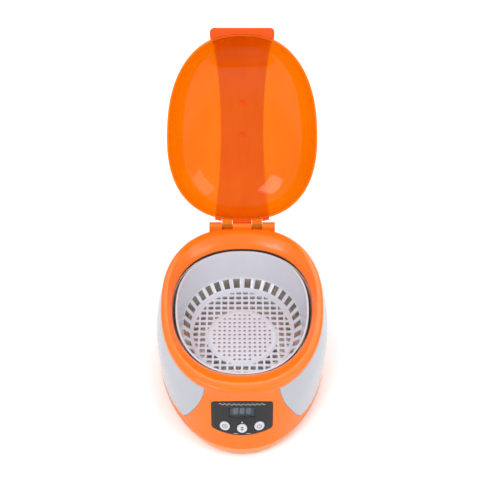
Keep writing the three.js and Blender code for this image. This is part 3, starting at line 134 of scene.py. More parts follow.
class Paint:
    """Builds one material from nodes."""

    def __init__(self, name: str) -> None:
        """Start a material with only its output node."""
        self.material = bpy.data.materials.new(name)
        self.material.use_nodes = True
        self.tree = self.material.node_tree
        self.tree.nodes.clear()
        self.output = self.tree.nodes.new("ShaderNodeOutputMaterial")

    def node(
        self,
        kind: str,
        settings: Optional[dict[str, Any]] = None,
        inputs: Optional[dict[Union[int, str], Any]] = None,
        result: Union[int, str] = 0,
    ) -> Flow:
        """Add a node, apply its settings, then fill or link its sockets.

        Args:
            kind: The node's type.
            settings: Attributes of the node; "stops" fills a colour ramp.
            inputs: Values or flows by socket name or number.
            result: The output to hand back.

        Returns:
            The chosen output as a flow.
        """
        made = self.tree.nodes.new(kind)
        for key, value in (settings or {}).items():
            if key == "stops":
                self._fill_ramp(made.color_ramp, value)
            else:
                setattr(made, key, value)
        for key, value in (inputs or {}).items():
            socket = made.inputs[key]
            if isinstance(value, Flow):
                self.tree.links.new(value.socket, socket)
            elif isinstance(value, tuple) and len(value) == 3 and socket.type == "RGBA":
                socket.default_value = (*value, 1.0)
            else:
                socket.default_value = value
        return Flow(self, made.outputs[result])

    @staticmethod
    def _fill_ramp(ramp: Any, stops: Sequence[tuple[float, Colour]]) -> None:
        """Set a colour ramp's stops.

        Args:
            ramp: The ramp to fill.
            stops: Places from 0 to 1 and their colours.
        """
        while len(ramp.elements) < len(stops):
            ramp.elements.new(0.5)
        for element, (place, colour) in zip(ramp.elements, stops):
            element.position = place
            element.color = (*colour, 1.0)

    def place(self) -> Flow:
        """Give the piece's own coordinates in metres."""
        return self.node("ShaderNodeTexCoord", result="Object")

    def stretched(self, scale: Sequence[float]) -> Flow:
        """Give the piece's coordinates, scaled along each axis."""
        inputs = {0: self.place(), 1: tuple(scale)}
        return self.node("ShaderNodeVectorMath", {"operation": "MULTIPLY"}, inputs)

    def noise(self, scale: float, detail: float = 3.0, where: Optional[Flow] = None) -> Flow:
        """Give soft noise from 0 to 1.

        Args:
            scale: Waves per metre.
            detail: Octaves of finer noise.
            where: Coordinates other than the piece's own.

        Returns:
            The noise value.
        """
        inputs = {"Vector": where or self.place(), "Scale": scale, "Detail": detail}
        return self.node("ShaderNodeTexNoise", {}, inputs, "Fac")

    def mixed(self, share: Any, first: Any, second: Any) -> Flow:
        """Blend two colours.

        Args:
            share: How much of the second colour.
            first: The colour at 0.
            second: The colour at 1.

        Returns:
            The blended colour.
        """
        made = self.node("ShaderNodeMix", {"data_type": "RGBA"}, {0: share}, 2)
        node = made.socket.node
        for index, value in ((6, first), (7, second)):
            if isinstance(value, Flow):
                self.tree.links.new(value.socket, node.inputs[index])
            else:
                node.inputs[index].default_value = (*value, 1.0)
        return made

    def bump(self, height: Flow, distance: float, strength: float = 1.0) -> Flow:
        """Turn a height into a normal.

        Args:
            height: The height from 0 to 1.
            distance: What a height of 1 means, in metres.
            strength: How much of it shows.

        Returns:
            The normal.
        """
        inputs = {"Height": height, "Distance": distance, "Strength": strength}
        return self.node("ShaderNodeBump", {}, inputs)

    def surface(self, inputs: dict[str, Any]) -> Flow:
        """Add a Principled shader with these socket values."""
        return self.node("ShaderNodeBsdfPrincipled", {}, inputs)

    def finish(self, shader: Flow) -> bpy.types.Material:
        """Send a shader to the output and hand over the material."""
        self.tree.links.new(shader.socket, self.output.inputs["Surface"])
        return self.material


# ---------------------------------------------------------------- finishes


@dataclass(frozen=True)
class MouldedPlastic:
    """Glossy or satin moulded plastic with a faint orange-peel skin and handling marks."""

    name: str
    colour: int
    shade: int
    roughness: float = 0.22
    peel: float = 0.00002
    grain: float = 900.0
    coat: float = 0.25
    # painted_glow: painted light, an emission that lifts a part that is no lamp out of its shade;
    # 0 for none
    painted_glow: float = 0.0

    def material(self) -> bpy.types.Material:
        """Make the plastic.

        Returns:
            The finished material.
        """
        paint = Paint(self.name)
        cloud = paint.noise(22.0, 4.0)
        flow_lines = paint.noise(60.0, 5.0, paint.stretched((1.0, 1.0, 0.25)))
        dust = paint.noise(2600.0, 2.0)
        tone = cloud * 0.6 + flow_lines * 0.4
        colour = paint.mixed(tone, linear(self.colour), linear(self.shade))
        rub = (cloud - 0.5) * 0.16 + (dust - 0.5) * 0.05
        skin = paint.noise(self.grain, 2.0)
        return paint.finish(
            paint.surface(
                {
                    "Base Color": colour,
                    "Roughness": rub + self.roughness,
                    "Coat Weight": self.coat,
                    "Coat Roughness": 0.12,
                    "IOR": 1.42,
                    # Emission paints light onto the surface (painted glow), though the part is no
                    # lamp
                    "Emission Color": colour,
                    "Emission Strength": self.painted_glow,
                    "Normal": paint.bump(skin, self.peel),
                }
            )
        )


@dataclass(frozen=True)
class ClearPlastic:
    """See-through tinted plastic: its tint for what lies behind, and a glossy skin of its own."""

    name: str
    tint: int
    body: int
    solid: float = 0.3
    roughness: float = 0.08

    def material(self) -> bpy.types.Material:
        """Make the plastic.

        Returns:
            The finished material.
        """
        paint = Paint(self.name)
        cloud = paint.noise(14.0, 3.0)
        flow = paint.noise(90.0, 4.0, paint.stretched((1.0, 0.3, 0.3)))
        dust = paint.noise(1800.0, 2.0)
        colour = paint.mixed(cloud * 0.7 + flow * 0.3, linear(self.body), linear(self.tint))
        skin = paint.surface(
            {
                "Base Color": colour,
                "Roughness": (dust - 0.5) * 0.05 + (cloud - 0.5) * 0.06 + self.roughness,
                "IOR": 1.45,
                "Coat Weight": 0.3,
                "Coat Roughness": 0.04,
                "Normal": paint.bump(paint.noise(240.0, 2.0), 0.00002),
            }
        )
        through = paint.node("ShaderNodeBsdfTransparent", {}, {"Color": linear(self.tint)})
        share = (flow - 0.5) * 0.06 + self.solid
        return paint.finish(paint.node("ShaderNodeMixShader", {}, {0: share, 1: through, 2: skin}))


class Brushing(Enum):
    """How a metal was worked."""

    DRAWN = (1.0, 1.0, 0.02)
    ROLLED = (0.05, 1.0, 1.0)
    TURNED = (1.0, 1.0, 1.0)


@dataclass(frozen=True)
class WorkedMetal:
    """Bare metal with fine lines from its working and dull patches from handling."""

    name: str
    colour: int
    roughness: float = 0.28
    brushing: Brushing = Brushing.TURNED
    shade: float = 0.72

    def material(self) -> bpy.types.Material:
        """Make the metal.

        Returns:
            The finished material.
        """
        paint = Paint(self.name)
        lines = paint.noise(1500.0, 3.0, paint.stretched(self.brushing.value))
        patch = paint.noise(45.0, 3.0)
        light = linear(self.colour)
        dark = tuple(part * self.shade for part in light)
        return paint.finish(
            paint.surface(
                {
                    "Base Color": paint.mixed(patch * 0.5 + lines * 0.5, light, dark),
                    "Metallic": 1.0,
                    "Roughness": (lines - 0.5) * 0.18 + (patch - 0.5) * 0.2 + self.roughness,
                    "Normal": paint.bump(lines, 0.00002, 0.7),
                }
            )
        )


@dataclass(frozen=True)
class MattRubber:
    """Soft dull rubber with a gritty skin."""

    name: str
    colour: int = 0x2A2A2C

    def material(self) -> bpy.types.Material:
        """Make the rubber.

        Returns:
            The finished material.
        """
        paint = Paint(self.name)
        grit = paint.noise(2200.0, 4.0)
        dust = paint.noise(120.0, 4.0)
        pale = tuple(min(1.0, part * 2.2 + 0.01) for part in linear(self.colour))
        return paint.finish(
            paint.surface(
                {
                    "Base Color": paint.mixed(dust * 0.45, linear(self.colour), pale),
                    "Roughness": (grit - 0.5) * 0.2 + 0.8,
                    "Normal": paint.bump(grit, 0.00008),
                }
            )
        )


@dataclass(frozen=True)
class Laminate:
    """Green circuit board with etched tracks and tinned pads under its lacquer."""

    name: str
    colour: int = 0x1F5A34
    track: int = 0x2F7A48
    pitch: float = 230.0

    def material(self) -> bpy.types.Material:
        """Make the board.

        Returns:
            The finished material.
        """
        paint = Paint(self.name)
        cells = paint.node(
            "ShaderNodeTexVoronoi",
            {"distance": "CHEBYCHEV", "feature": "F1"},
            {"Vector": paint.place(), "Scale": self.pitch},
            "Distance",
        )
        tracks = cells.above(0.34)
        pads = 1 - cells.above(0.09)
        weave = paint.noise(1800.0, 2.0)
        green = paint.mixed(tracks, linear(self.colour), linear(self.track))
        tinned = paint.mixed(pads, green, linear(0xB9BCBE))
        height = tracks * 0.5 + pads * 0.5 + weave * 0.15
        return paint.finish(
            paint.surface(
                {
                    "Base Color": tinned,
                    "Metallic": pads * 0.9,
                    "Roughness": (weave - 0.5) * 0.15 + 0.38,
                    "Normal": paint.bump(height, 0.00006),
                }
            )
        )


@dataclass(frozen=True)
class FiredCeramic:
    """Pale fired ceramic with pores and a silvered face."""

    name: str
    colour: int = 0xD8D2C4

    def material(self) -> bpy.types.Material:
        """Make the ceramic.

        Returns:
            The finished material.
        """
        paint = Paint(self.name)
        pores = paint.noise(1400.0, 5.0)
        stain = paint.noise(60.0, 3.0)
        warm = paint.mixed(stain, linear(self.colour), linear(0xB9B3A6))
        return paint.finish(
            paint.surface(
                {
                    "Base Color": warm,
                    "Metallic": stain * 0.25,
                    "Roughness": (pores - 0.5) * 0.25 + 0.52,
                    "Normal": paint.bump(pores, 0.00004),
                }
            )
        )


@dataclass(frozen=True)
class StackedSteel:
    """Varnished core plates of a small transformer, seen edge on."""

    name: str
    colour: int = 0x55504A

    def material(self) -> bpy.types.Material:
        """Make the core.

        Returns:
            The finished material.
        """
        paint = Paint(self.name)
        plates = paint.node(
            "ShaderNodeTexWave",
            {"wave_type": "BANDS", "bands_direction": "X"},
            {"Vector": paint.place(), "Scale": 320.0, "Distortion": 0.4},
            "Fac",
        )
        varnish = paint.noise(80.0, 4.0)
        colour = paint.mixed(plates * 0.6 + varnish * 0.4, linear(self.colour), linear(0x2E2A26))
        return paint.finish(
            paint.surface(
                {
                    "Base Color": colour,
                    "Metallic": plates * 0.4,
                    "Roughness": varnish * 0.3 + 0.3,
                    "Normal": paint.bump(plates, 0.0001),
                }
            )
        )


class Finishes:
    """Every finish of the cleaner, made once and handed out by name."""

    def __init__(self) -> None:
        """Mix all the finishes."""
        recipes = (
            MouldedPlastic("orange_shell", 0xF6740C, 0xF06A08, 0.26, coat=0.1),
            # The tray's finish is the shell's orange plastic painted paler: a painted reflection
            # of the white floor
            MouldedPlastic("orange_base_painted_floor_reflection", 0xF2985E, 0xEE8C50, 0.36, coat=0.05),
            MouldedPlastic("white_panel", 0xB1B3BB, 0xA8AAB2, 0.2, coat=0.3),
            MouldedPlastic("basket_white", 0xCACCD5, 0xC0C2CB, 0.22, coat=0.3),
            MouldedPlastic("panel_film", 0x211F21, 0x1A181B, 0.34, 0.00001, 2400.0, 0.1),
            MouldedPlastic("button_white", 0xCDCED6, 0xC3C4CC, 0.3),
            MouldedPlastic("black_plastic", 0x1B1B1D, 0x232326, 0.42),
            # The display face is grey plastic with a painted glow that lifts it out of the shade
            # of its recess
            MouldedPlastic("display_grey_painted_glow", 0x8E959B, 0x848B91, 0.4, painted_glow=0.12),
            # The digits are pale grey with a painted glow that makes them stand out from the
            # shaded window
            MouldedPlastic("segment_grey_painted_glow", 0xEDF0F2, 0xE2E5E8, 0.5, painted_glow=0.9),
            MouldedPlastic("film_ink", 0xC6C8CB, 0xB4B6BA, 0.5),
            MouldedPlastic("button_ink", 0x34373E, 0x2A2D33, 0.5),
            MouldedPlastic("red_lead", 0xB0322A, 0x8E241E, 0.45),
            MouldedPlastic("fuse_sleeve", 0xC8CFCB, 0xA9B2AD, 0.15),
            ClearPlastic("clear_lid", 0xF4A60C, 0xEC7C06, 0.32),
            ClearPlastic("clear_strap", 0xFC7614, 0xF4560A, 0.5),
            ClearPlastic("window_clear", 0xC8CDD2, 0x3A3D42, 0.1, 0.1),
            WorkedMetal("drawn_steel", 0xF6EEE6, 0.38, Brushing.DRAWN),
            WorkedMetal("screw_steel", 0xB9BCC0, 0.32),
            WorkedMetal("bare_aluminium", 0xB8BABD, 0.4, Brushing.ROLLED),
            WorkedMetal("pin_brass", 0xC9A24B, 0.25),
            MattRubber("foot_rubber"),
            MattRubber("seal_rubber", 0x3A3A3C),
            Laminate("board_laminate"),
            FiredCeramic("piezo_ceramic"),
            StackedSteel("transformer_core"),
        )
        self.made = {recipe.name: recipe.material() for recipe in recipes}

    def __getitem__(self, name: str) -> bpy.types.Material:
        """Hand out a finish by name."""
        return self.made[name]


# ---------------------------------------------------------------- shapes


@dataclass(frozen=True)
class Egg:
    """A rounded outline that widens towards the back. Its sizes may be arrays."""

    half_width: Number
    half_length: Number
    centre: Number
    taper: Number
    power: Number

    @classmethod
    def between(
        cls, half_width: Number, front: Number, rear: Number, taper: Number, power: Number
    ) -> "Egg":
        """Make an egg from its front and rear ends.

        Args:
            half_width: Half its width at its middle.
            front: Where it starts along Y.
            rear: Where it ends along Y.
            taper: How much wider it grows towards the back.
            power: 2 for an ellipse, more for squarer.

        Returns:
            The egg.
        """
        return cls(half_width, (rear - front) / 2, (rear + front) / 2, taper, power)

    def grown(self, amount: Number) -> "Egg":
        """Give the egg moved outwards by an amount."""
        return replace(
            self, half_width=self.half_width + amount, half_length=self.half_length + amount
        )

    def scaled(self, factor: Number) -> "Egg":
        """Give the egg scaled about its middle."""
        return replace(
            self, half_width=self.half_width * factor, half_length=self.half_length * factor
        )

    def blended(self, other: "Egg", share: Number) -> "Egg":
        """Mix this egg with another.

        Args:
            other: The egg at a share of 1.
            share: How far towards it.

        Returns:
            The mixed egg.
        """
        mine = (self.half_width, self.half_length, self.centre, self.taper, self.power)
        theirs = (other.half_width, other.half_length, other.centre, other.taper, other.power)
        return Egg(*(a + (b - a) * share for a, b in zip(mine, theirs)))

    def points(self, angles: Array) -> Array:
        """Give points of the outline.

        Args:
            angles: Angles round it, 0 at +X and counted towards the back.

        Returns:
            One row of x and y for each angle.
        """
        across = np.sign(np.cos(angles)) * np.abs(np.cos(angles)) ** (2 / self.power)
        along = np.sign(np.sin(angles)) * np.abs(np.sin(angles)) ** (2 / self.power)
        x = self.half_width * across * (1 + self.taper * along)
        return np.stack([x, self.centre + self.half_length * along], axis=-1)

    def outside(self, x: Number, y: Number) -> Array:
        """Give a value that is above 0 outside the egg and below 0 inside."""
        along = (y - self.centre) / self.half_length
        width = np.maximum(self.half_width * (1 + self.taper * along), 1e-6)
        return np.abs(x / width) ** self.power + np.abs(along) ** self.power - 1

    def angle_at(self, x: float, rear: bool) -> float:
        """Find where the outline is a given distance to the right of the middle plane.

        Args:
            x: The distance.
            rear: Look in the rear half instead of the front half.

        Returns:
            The angle.
        """
        sign = 1 if rear else -1
        low, high = 0.0, math.pi / 2
        for _ in range(50):
            middle = (low + high) / 2
            if self.points(np.array([sign * middle]))[0, 0] > x:
                low = middle
            else:
                high = middle
        return sign * (low + high) / 2

    def spread(self, start: float, end: float, count: int) -> Array:
        """Share a stretch of the outline out evenly.

        Args:
            start: The first angle.
            end: The last angle.
            count: How many parts.

        Returns:
            count + 1 angles, evenly spaced along the outline.
        """
        dense = np.linspace(start, end, 8 * count + 1)
        steps = np.linalg.norm(np.diff(self.points(dense), axis=0), axis=1)
        length = np.concatenate([[0], np.cumsum(steps)])
        return np.interp(np.linspace(0, length[-1], count + 1), length, dense)


@dataclass(frozen=True)
class PlaneFrame:
    """A flat frame set against a wall: u across, v up it and n out of it."""

    origin: Array
    across: Array
    up: Array
    out: Array

    def at(self, u: Number, v: Number, n: Number) -> Array:
        """Give the points at u, v and n."""
        u, v, n = np.broadcast_arrays(u, v, n)
        return (
            self.origin
            + u[..., None] * self.across
            + v[..., None] * self.up
            + n[..., None] * self.out
        )

    def flat(self, points: Array) -> Array:
        """Give u and v of points."""
        away = points - self.origin
        return np.stack([away @ self.across, away @ self.up], axis=-1)


@dataclass(frozen=True)
class BodyForm:
    """The outside of the body, in millimetres, before it is set in the frame."""

    rim_half_width: float = 83.0
    rim_half_length: float = 109.6
    rim_centre: float = 8.0
    rim_height: float = 88.0
    rim_slope: float = math.radians(2.5)
    rim_band: float = 8.0
    rim_round: float = 3.0
    lean_start: float = 40.0
    side_bulge: float = 6.0
    bulge_height: float = 50.0
    base_tuck: float = 2.5
    console_top: float = 14.0
    console_slope: float = 0.34
    console_bend: float = 8.0
    parting_height: float = 12.0
    petal_top: float = 35.5
    petal_low: float = 57.4
    petal_tip: float = 73.4
    petal_low_height: float = 20.0
    petal_tip_height: float = 14.6
    fascia_top_drop: float = 18.2
    fascia_foot: float = 27.9

    @property
    def rear(self) -> float:
        """The rim's rear end."""
        return self.rim_centre + self.rim_half_length

    @property
    def front(self) -> float:
        """The rim's front end."""
        return self.rim_centre - self.rim_half_length

    @property
    def band_foot(self) -> float:
        """The foot of the band round the rim."""
        return self.rim_height - self.rim_band

    @property
    def rim(self) -> Egg:
        """The rim's outline."""
        return Egg.between(self.rim_half_width, self.front, self.rear, 0.05, 2.31)

    @property
    def opening(self) -> Egg:
        """The outline of the opening in the ring."""
        return Egg.between(
            self.rim_half_width - 11.5, self.front + 26.0, self.rear - 23.9, 0.05, 2.25
        )

    def lean(self, y: Number, z: Number) -> Array:
        """Slope a height down to the front, as the rim does.

        Args:
            y: Where along the body.
            z: The height before the slope.

        Returns:
            The height with it.
        """
        share = np.clip((z - self.lean_start) / (self.rim_height - self.lean_start), 0, 1)
        return z - (self.rear - y) * math.tan(self.rim_slope) * share

    def upright(self, y: Number, z: Number) -> Array:
        """Undo the slope of a height; the reverse of lean."""
        span = self.rim_height - self.lean_start
        drop = (self.rear - y) * math.tan(self.rim_slope)
        middle = (z - self.lean_start * drop / span) / (1 - drop / span)
        return np.where(
            z < self.lean_start, z, np.where(middle > self.rim_height, z + drop, middle)
        )

    def egg(self, z: Number) -> Egg:
        """Give the body's outline at a height.

        Args:
            z: The height before the slope.

        Returns:
            The outline, reaching forward under the console.
        """
        z = np.asarray(z, float)
        upper = self.rim_height - self.rim_band - self.bulge_height
        lower = (self.bulge_height - self.parting_height) * math.sqrt(
            self.side_bulge / self.base_tuck
        )
        away = np.minimum(z, self.band_foot) - self.bulge_height
        bulge = self.side_bulge * (1 - (away / np.where(away > 0, upper, lower)) ** 2)
        drop = np.maximum(0, self.rim_height - self.console_top - z)
        reach = self.console_slope * drop**2 / (drop + self.console_bend)
        share = z / self.rim_height
        return Egg.between(
            self.rim_half_width + bulge,
            self.front - reach,
            self.rear + 0.3 * bulge,
            0.07 - 0.02 * share,
            2.02 + 0.29 * share,
        )

    def petal_edge(self, z: float) -> float:
        """Give how far the side panel's edge lies from the middle plane at a height."""
        if z <= self.petal_tip_height:
            return self.petal_tip
        if z <= self.petal_low_height:
            share = (z - self.petal_tip_height) / (self.petal_low_height - self.petal_tip_height)
            return self.petal_tip + share * (self.petal_low - self.petal_tip)
        if z >= self.band_foot:
            return self.petal_top
        low, high = self.petal_low_height, self.band_foot
        knee = low + 0.62 * (high - low)
        a, b, c = low - 2 * knee + high, 2 * (knee - low), low - z
        turn = (-b + math.sqrt(b * b - 4 * a * c)) / (2 * a)
        rest = 1 - turn
        return (
            rest**2 * self.petal_low
            + 2 * turn * rest * (self.petal_top + 1)
            + turn**2 * self.petal_top
        )

    def ring(self, z: float, angles: Array, offset: float = 0.0) -> Array:
        """Give points round the wall at a height.

        Args:
            z: The height before the slope.
            angles: Angles round the outline.
            offset: How far outside the wall.

        Returns:
            One row of x, y and z for each angle.
        """
        flat = self.egg(z).grown(offset).points(angles)
        return np.column_stack([flat, self.lean(flat[:, 1], np.full(len(flat), float(z)))])

    def on_wall(self, place: PlaneFrame, u: Number, v: Number, offset: Number) -> Array:
        """Find the wall in front of points of a flat frame.

        Args:
            place: The frame.
            u: Distances across it.
            v: Distances up it.
            offset: How far outside the wall.

        Returns:
            The points.
        """
        u, v, offset = np.broadcast_arrays(
            np.asarray(u, float), np.asarray(v, float), np.asarray(offset, float)
        )
        low = np.full(u.shape, -75.0)
        high = np.full(u.shape, 40.0)
        for _ in range(44):
            middle = (low + high) / 2
            points = place.at(u, v, middle)
            height = self.upright(points[..., 1], points[..., 2])
            out = self.egg(height).grown(offset).outside(points[..., 0], points[..., 1]) > 0
            high = np.where(out, middle, high)
            low = np.where(out, low, middle)
        return place.at(u, v, (low + high) / 2)

    def console(self) -> tuple[PlaneFrame, float]:
        """Give the console's frame and the height of its fascia."""
        ends = []
        for z in (self.rim_height - self.fascia_top_drop, self.fascia_foot):
            y = float(self.egg(z).centre - self.egg(z).half_length)
            ends.append(np.array([0.0, y, float(self.lean(y, z))]))
        top, foot = ends
        height = float(np.linalg.norm(top - foot))
        across = np.array([1.0, 0.0, 0.0])
        up = (top - foot) / height
        return PlaneFrame((top + foot) / 2, across, up, np.cross(across, up)), height

    def back(self) -> PlaneFrame:
        """Give a frame on the back of the body."""
        axes = (np.array([-1.0, 0.0, 0.0]), np.array([0.0, 0.0, 1.0]), np.array([0.0, 1.0, 0.0]))
        return PlaneFrame(np.array([0.0, self.rear, 0.0]), *axes)


# ---------------------------------------------------------------- mesh building


def rounded(corners: Sequence[tuple[float, float]], radius: float, steps: int = 4) -> Array:
    """Round the corners of a convex outline.

    Args:
        corners: The corners, counted against the clock.
        radius: The largest radius.
        steps: Points in each corner.

    Returns:
        The outline.
    """
    points = np.array(corners, float)
    made = []
    for i, corner in enumerate(points):
        before = points[i - 1] - corner
        after = points[(i + 1) % len(points)] - corner
        size = min(np.linalg.norm(before), np.linalg.norm(after))
        first = before / np.linalg.norm(before)
        second = after / np.linalg.norm(after)
        half = math.acos(float(np.clip(first @ second, -1, 1))) / 2
        cut = min(radius / max(math.tan(half), 0.05), 0.42 * size)
        start, end = corner + first * cut, corner + second * cut
        for share in np.linspace(0, 1, steps + 1):
            bow = (1 - share) ** 2 * start + 2 * share * (1 - share) * corner + share**2 * end
            made.append(bow)
    return np.array(made)


def circle(u: float, v: float, radius: float, sides: int = 48) -> Array:
    """Give a round outline."""
    turn = np.linspace(0, 2 * math.pi, sides, endpoint=False)
    return np.column_stack([u + radius * np.cos(turn), v + radius * np.sin(turn)])


def rectangle(u: float, v: float, width: float, height: float, radius: float) -> Array:
    """Give a rounded rectangle about a middle."""
    a, b = width / 2, height / 2
    return rounded([(u - a, v - b), (u + a, v - b), (u + a, v + b), (u - a, v + b)], radius)


def inside(points: Array, loop: Array) -> Array:
    """Tell which points lie inside a closed outline.

    Args:
        points: Rows of x and y.
        loop: The outline's corners.

    Returns:
        True or False for each point.
    """
    result = np.zeros(len(points), bool)
    for a, b in zip(loop, np.roll(loop, -1, axis=0)):
        if a[1] == b[1]:
            continue
        crosses = (a[1] > points[:, 1]) != (b[1] > points[:, 1])
        at = a[0] + (points[:, 1] - a[1]) * (b[0] - a[0]) / (b[1] - a[1])
        result ^= crosses & (points[:, 0] < at)
    return result


def counted(loop: Array) -> Array:
    """Give an outline counted against the clock."""
    x, y = loop[:, 0], loop[:, 1]
    area = np.sum(x * np.roll(y, -1) - np.roll(x, -1) * y)
    return loop if area > 0 else loop[::-1]


def filled(
    outline: Array, holes: Sequence[Array], spacing: float, creases: Sequence[Array] = ()
) -> tuple[Array, list[Face]]:
    """Fill an outline with triangles, leaving holes out.

    Args:
        outline: The outer edge.
        holes: Edges of holes.
        spacing: Distance between the points inside.
        creases: Further outlines that edges must follow.

    Returns:
        Points and faces, counted against the clock.
    """
    loops = [counted(loop) for loop in (outline, *holes, *creases)]
    rim = np.concatenate(loops)
    low, high = outline.min(0), outline.max(0)
    rows = []
    for i, y in enumerate(np.arange(low[1], high[1], spacing * 0.87)):
        x = np.arange(low[0] + (i % 2) * spacing / 2, high[0], spacing)
        rows.append(np.column_stack([x, np.full(len(x), y)]))
    grid = np.concatenate(rows)
    keep = inside(grid, loops[0])
    for loop in loops[1 : 1 + len(holes)]:
        keep &= ~inside(grid, loop)
    grid = grid[keep]
    near = np.array([np.min(np.sum((rim - point) ** 2, axis=1)) for point in grid])
    grid = grid[near > (0.5 * spacing) ** 2] if len(grid) else grid
    every = np.concatenate([rim, grid])
    faces, start = [], 0
    for loop in loops:
        faces.append(list(range(start, start + len(loop))))
        start += len(loop)
    coords = [Vector((float(x), float(y))) for x, y in every]
    verts, _, triangles, _, _, origin = delaunay_2d_cdt(coords, [], faces, 1, 1e-5, True)
    last_hole = len(holes)
    kept = [
        tuple(triangle)
        for triangle, sources in zip(triangles, origin)
        if 0 in sources and not any(1 <= source <= last_hole for source in sources)
    ]
    return np.array([tuple(vert) for vert in verts]), kept


class Sheet:
    """Points and faces of a surface on its way to becoming a piece."""

    def __init__(self) -> None:
        """Start empty."""
        self.points: list[Array] = []
        self.faces: list[Face] = []
        self.count = 0

    def add(self, points: Array, faces: Iterable[Face]) -> None:
        """Add points and the faces between them.

        Args:
            points: Rows of x, y and z.
            faces: Faces that number those points from 0.
        """
        self.faces += [tuple(index + self.count for index in face) for face in faces]
        self.points.append(np.asarray(points, float))
        self.count += len(points)

    def take(self, other: "Sheet") -> None:
        """Add all of another sheet."""
        self.add(np.concatenate(other.points), other.faces)

    def strip(
        self,
        rings: Sequence[Array],
        closed: bool,
        skip: Optional[Callable[[int, int], bool]] = None,
    ) -> None:
        """Add a skin over rings of points.

        Args:
            rings: Rings of equal length, from the bottom up.
            closed: Whether each ring closes on itself.
            skip: Tells by row and column which faces are left out.
        """
        size = len(rings[0])
        faces = []
        for row in range(len(rings) - 1):
            for column in range(size if closed else size - 1):
                if skip and skip(row, column):
                    continue
                after = (column + 1) % size
                low, high = row * size, (row + 1) * size
                faces.append((low + column, low + after, high + after, high + column))
        self.add(np.concatenate(rings), faces)

    def cap(self, ring: Array, up: bool) -> None:
        """Close a ring with a fan about its middle.

        Args:
            ring: The ring's points.
            up: Whether the cap faces up.
        """
        middle = ring.mean(axis=0)
        size = len(ring)
        faces = [(i, (i + 1) % size, size) for i in range(size)]
        if not up:
            faces = [face[::-1] for face in faces]
        self.add(np.vstack([ring, middle]), faces)

    def body(self, rings: Sequence[Array]) -> "Sheet":
        """Add a closed body over rings, from the bottom up, with a cap at each end.

        Args:
            rings: Rings of equal length.

        Returns:
            This sheet.
        """
        self.strip(rings, True)
        self.cap(rings[0], False)
        self.cap(rings[-1], True)
        return self

    def turned(self) -> "Sheet":
        """Turn every face over."""
        self.faces = [face[::-1] for face in self.faces]
        return self


class Setting:
    """Where body millimetres lie in the row frame, read from the frame's own nodes."""

    def __init__(self, hinge_y: float, hinge_z: float) -> None:
        """Find the shift between the body's millimetres and the frame.

        Args:
            hinge_y: The hinge axis along the body.
            hinge_z: Its height.
        """
        low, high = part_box("hinge_pin")
        middle = (low + high) / 2
        self.hinge = np.array([0.0, hinge_y, hinge_z])
        self.shift = np.array([middle.x / MM, middle.y / MM - hinge_y, middle.z / MM - hinge_z])

    def body(self, points: Array) -> Array:
        """Give body points in metres of the row frame."""
        return (points + self.shift) * MM

    def lid(self, angle: float) -> Callable[[Array], Array]:
        """Give the move from the closed lid about its hinge to the open one.

        Args:
            angle: The turn about X.

        Returns:
            A function for points.
        """
        turn = np.array(Matrix.Rotation(angle, 3, "X"))
        return lambda points: self.body(points @ turn.T + self.hinge)


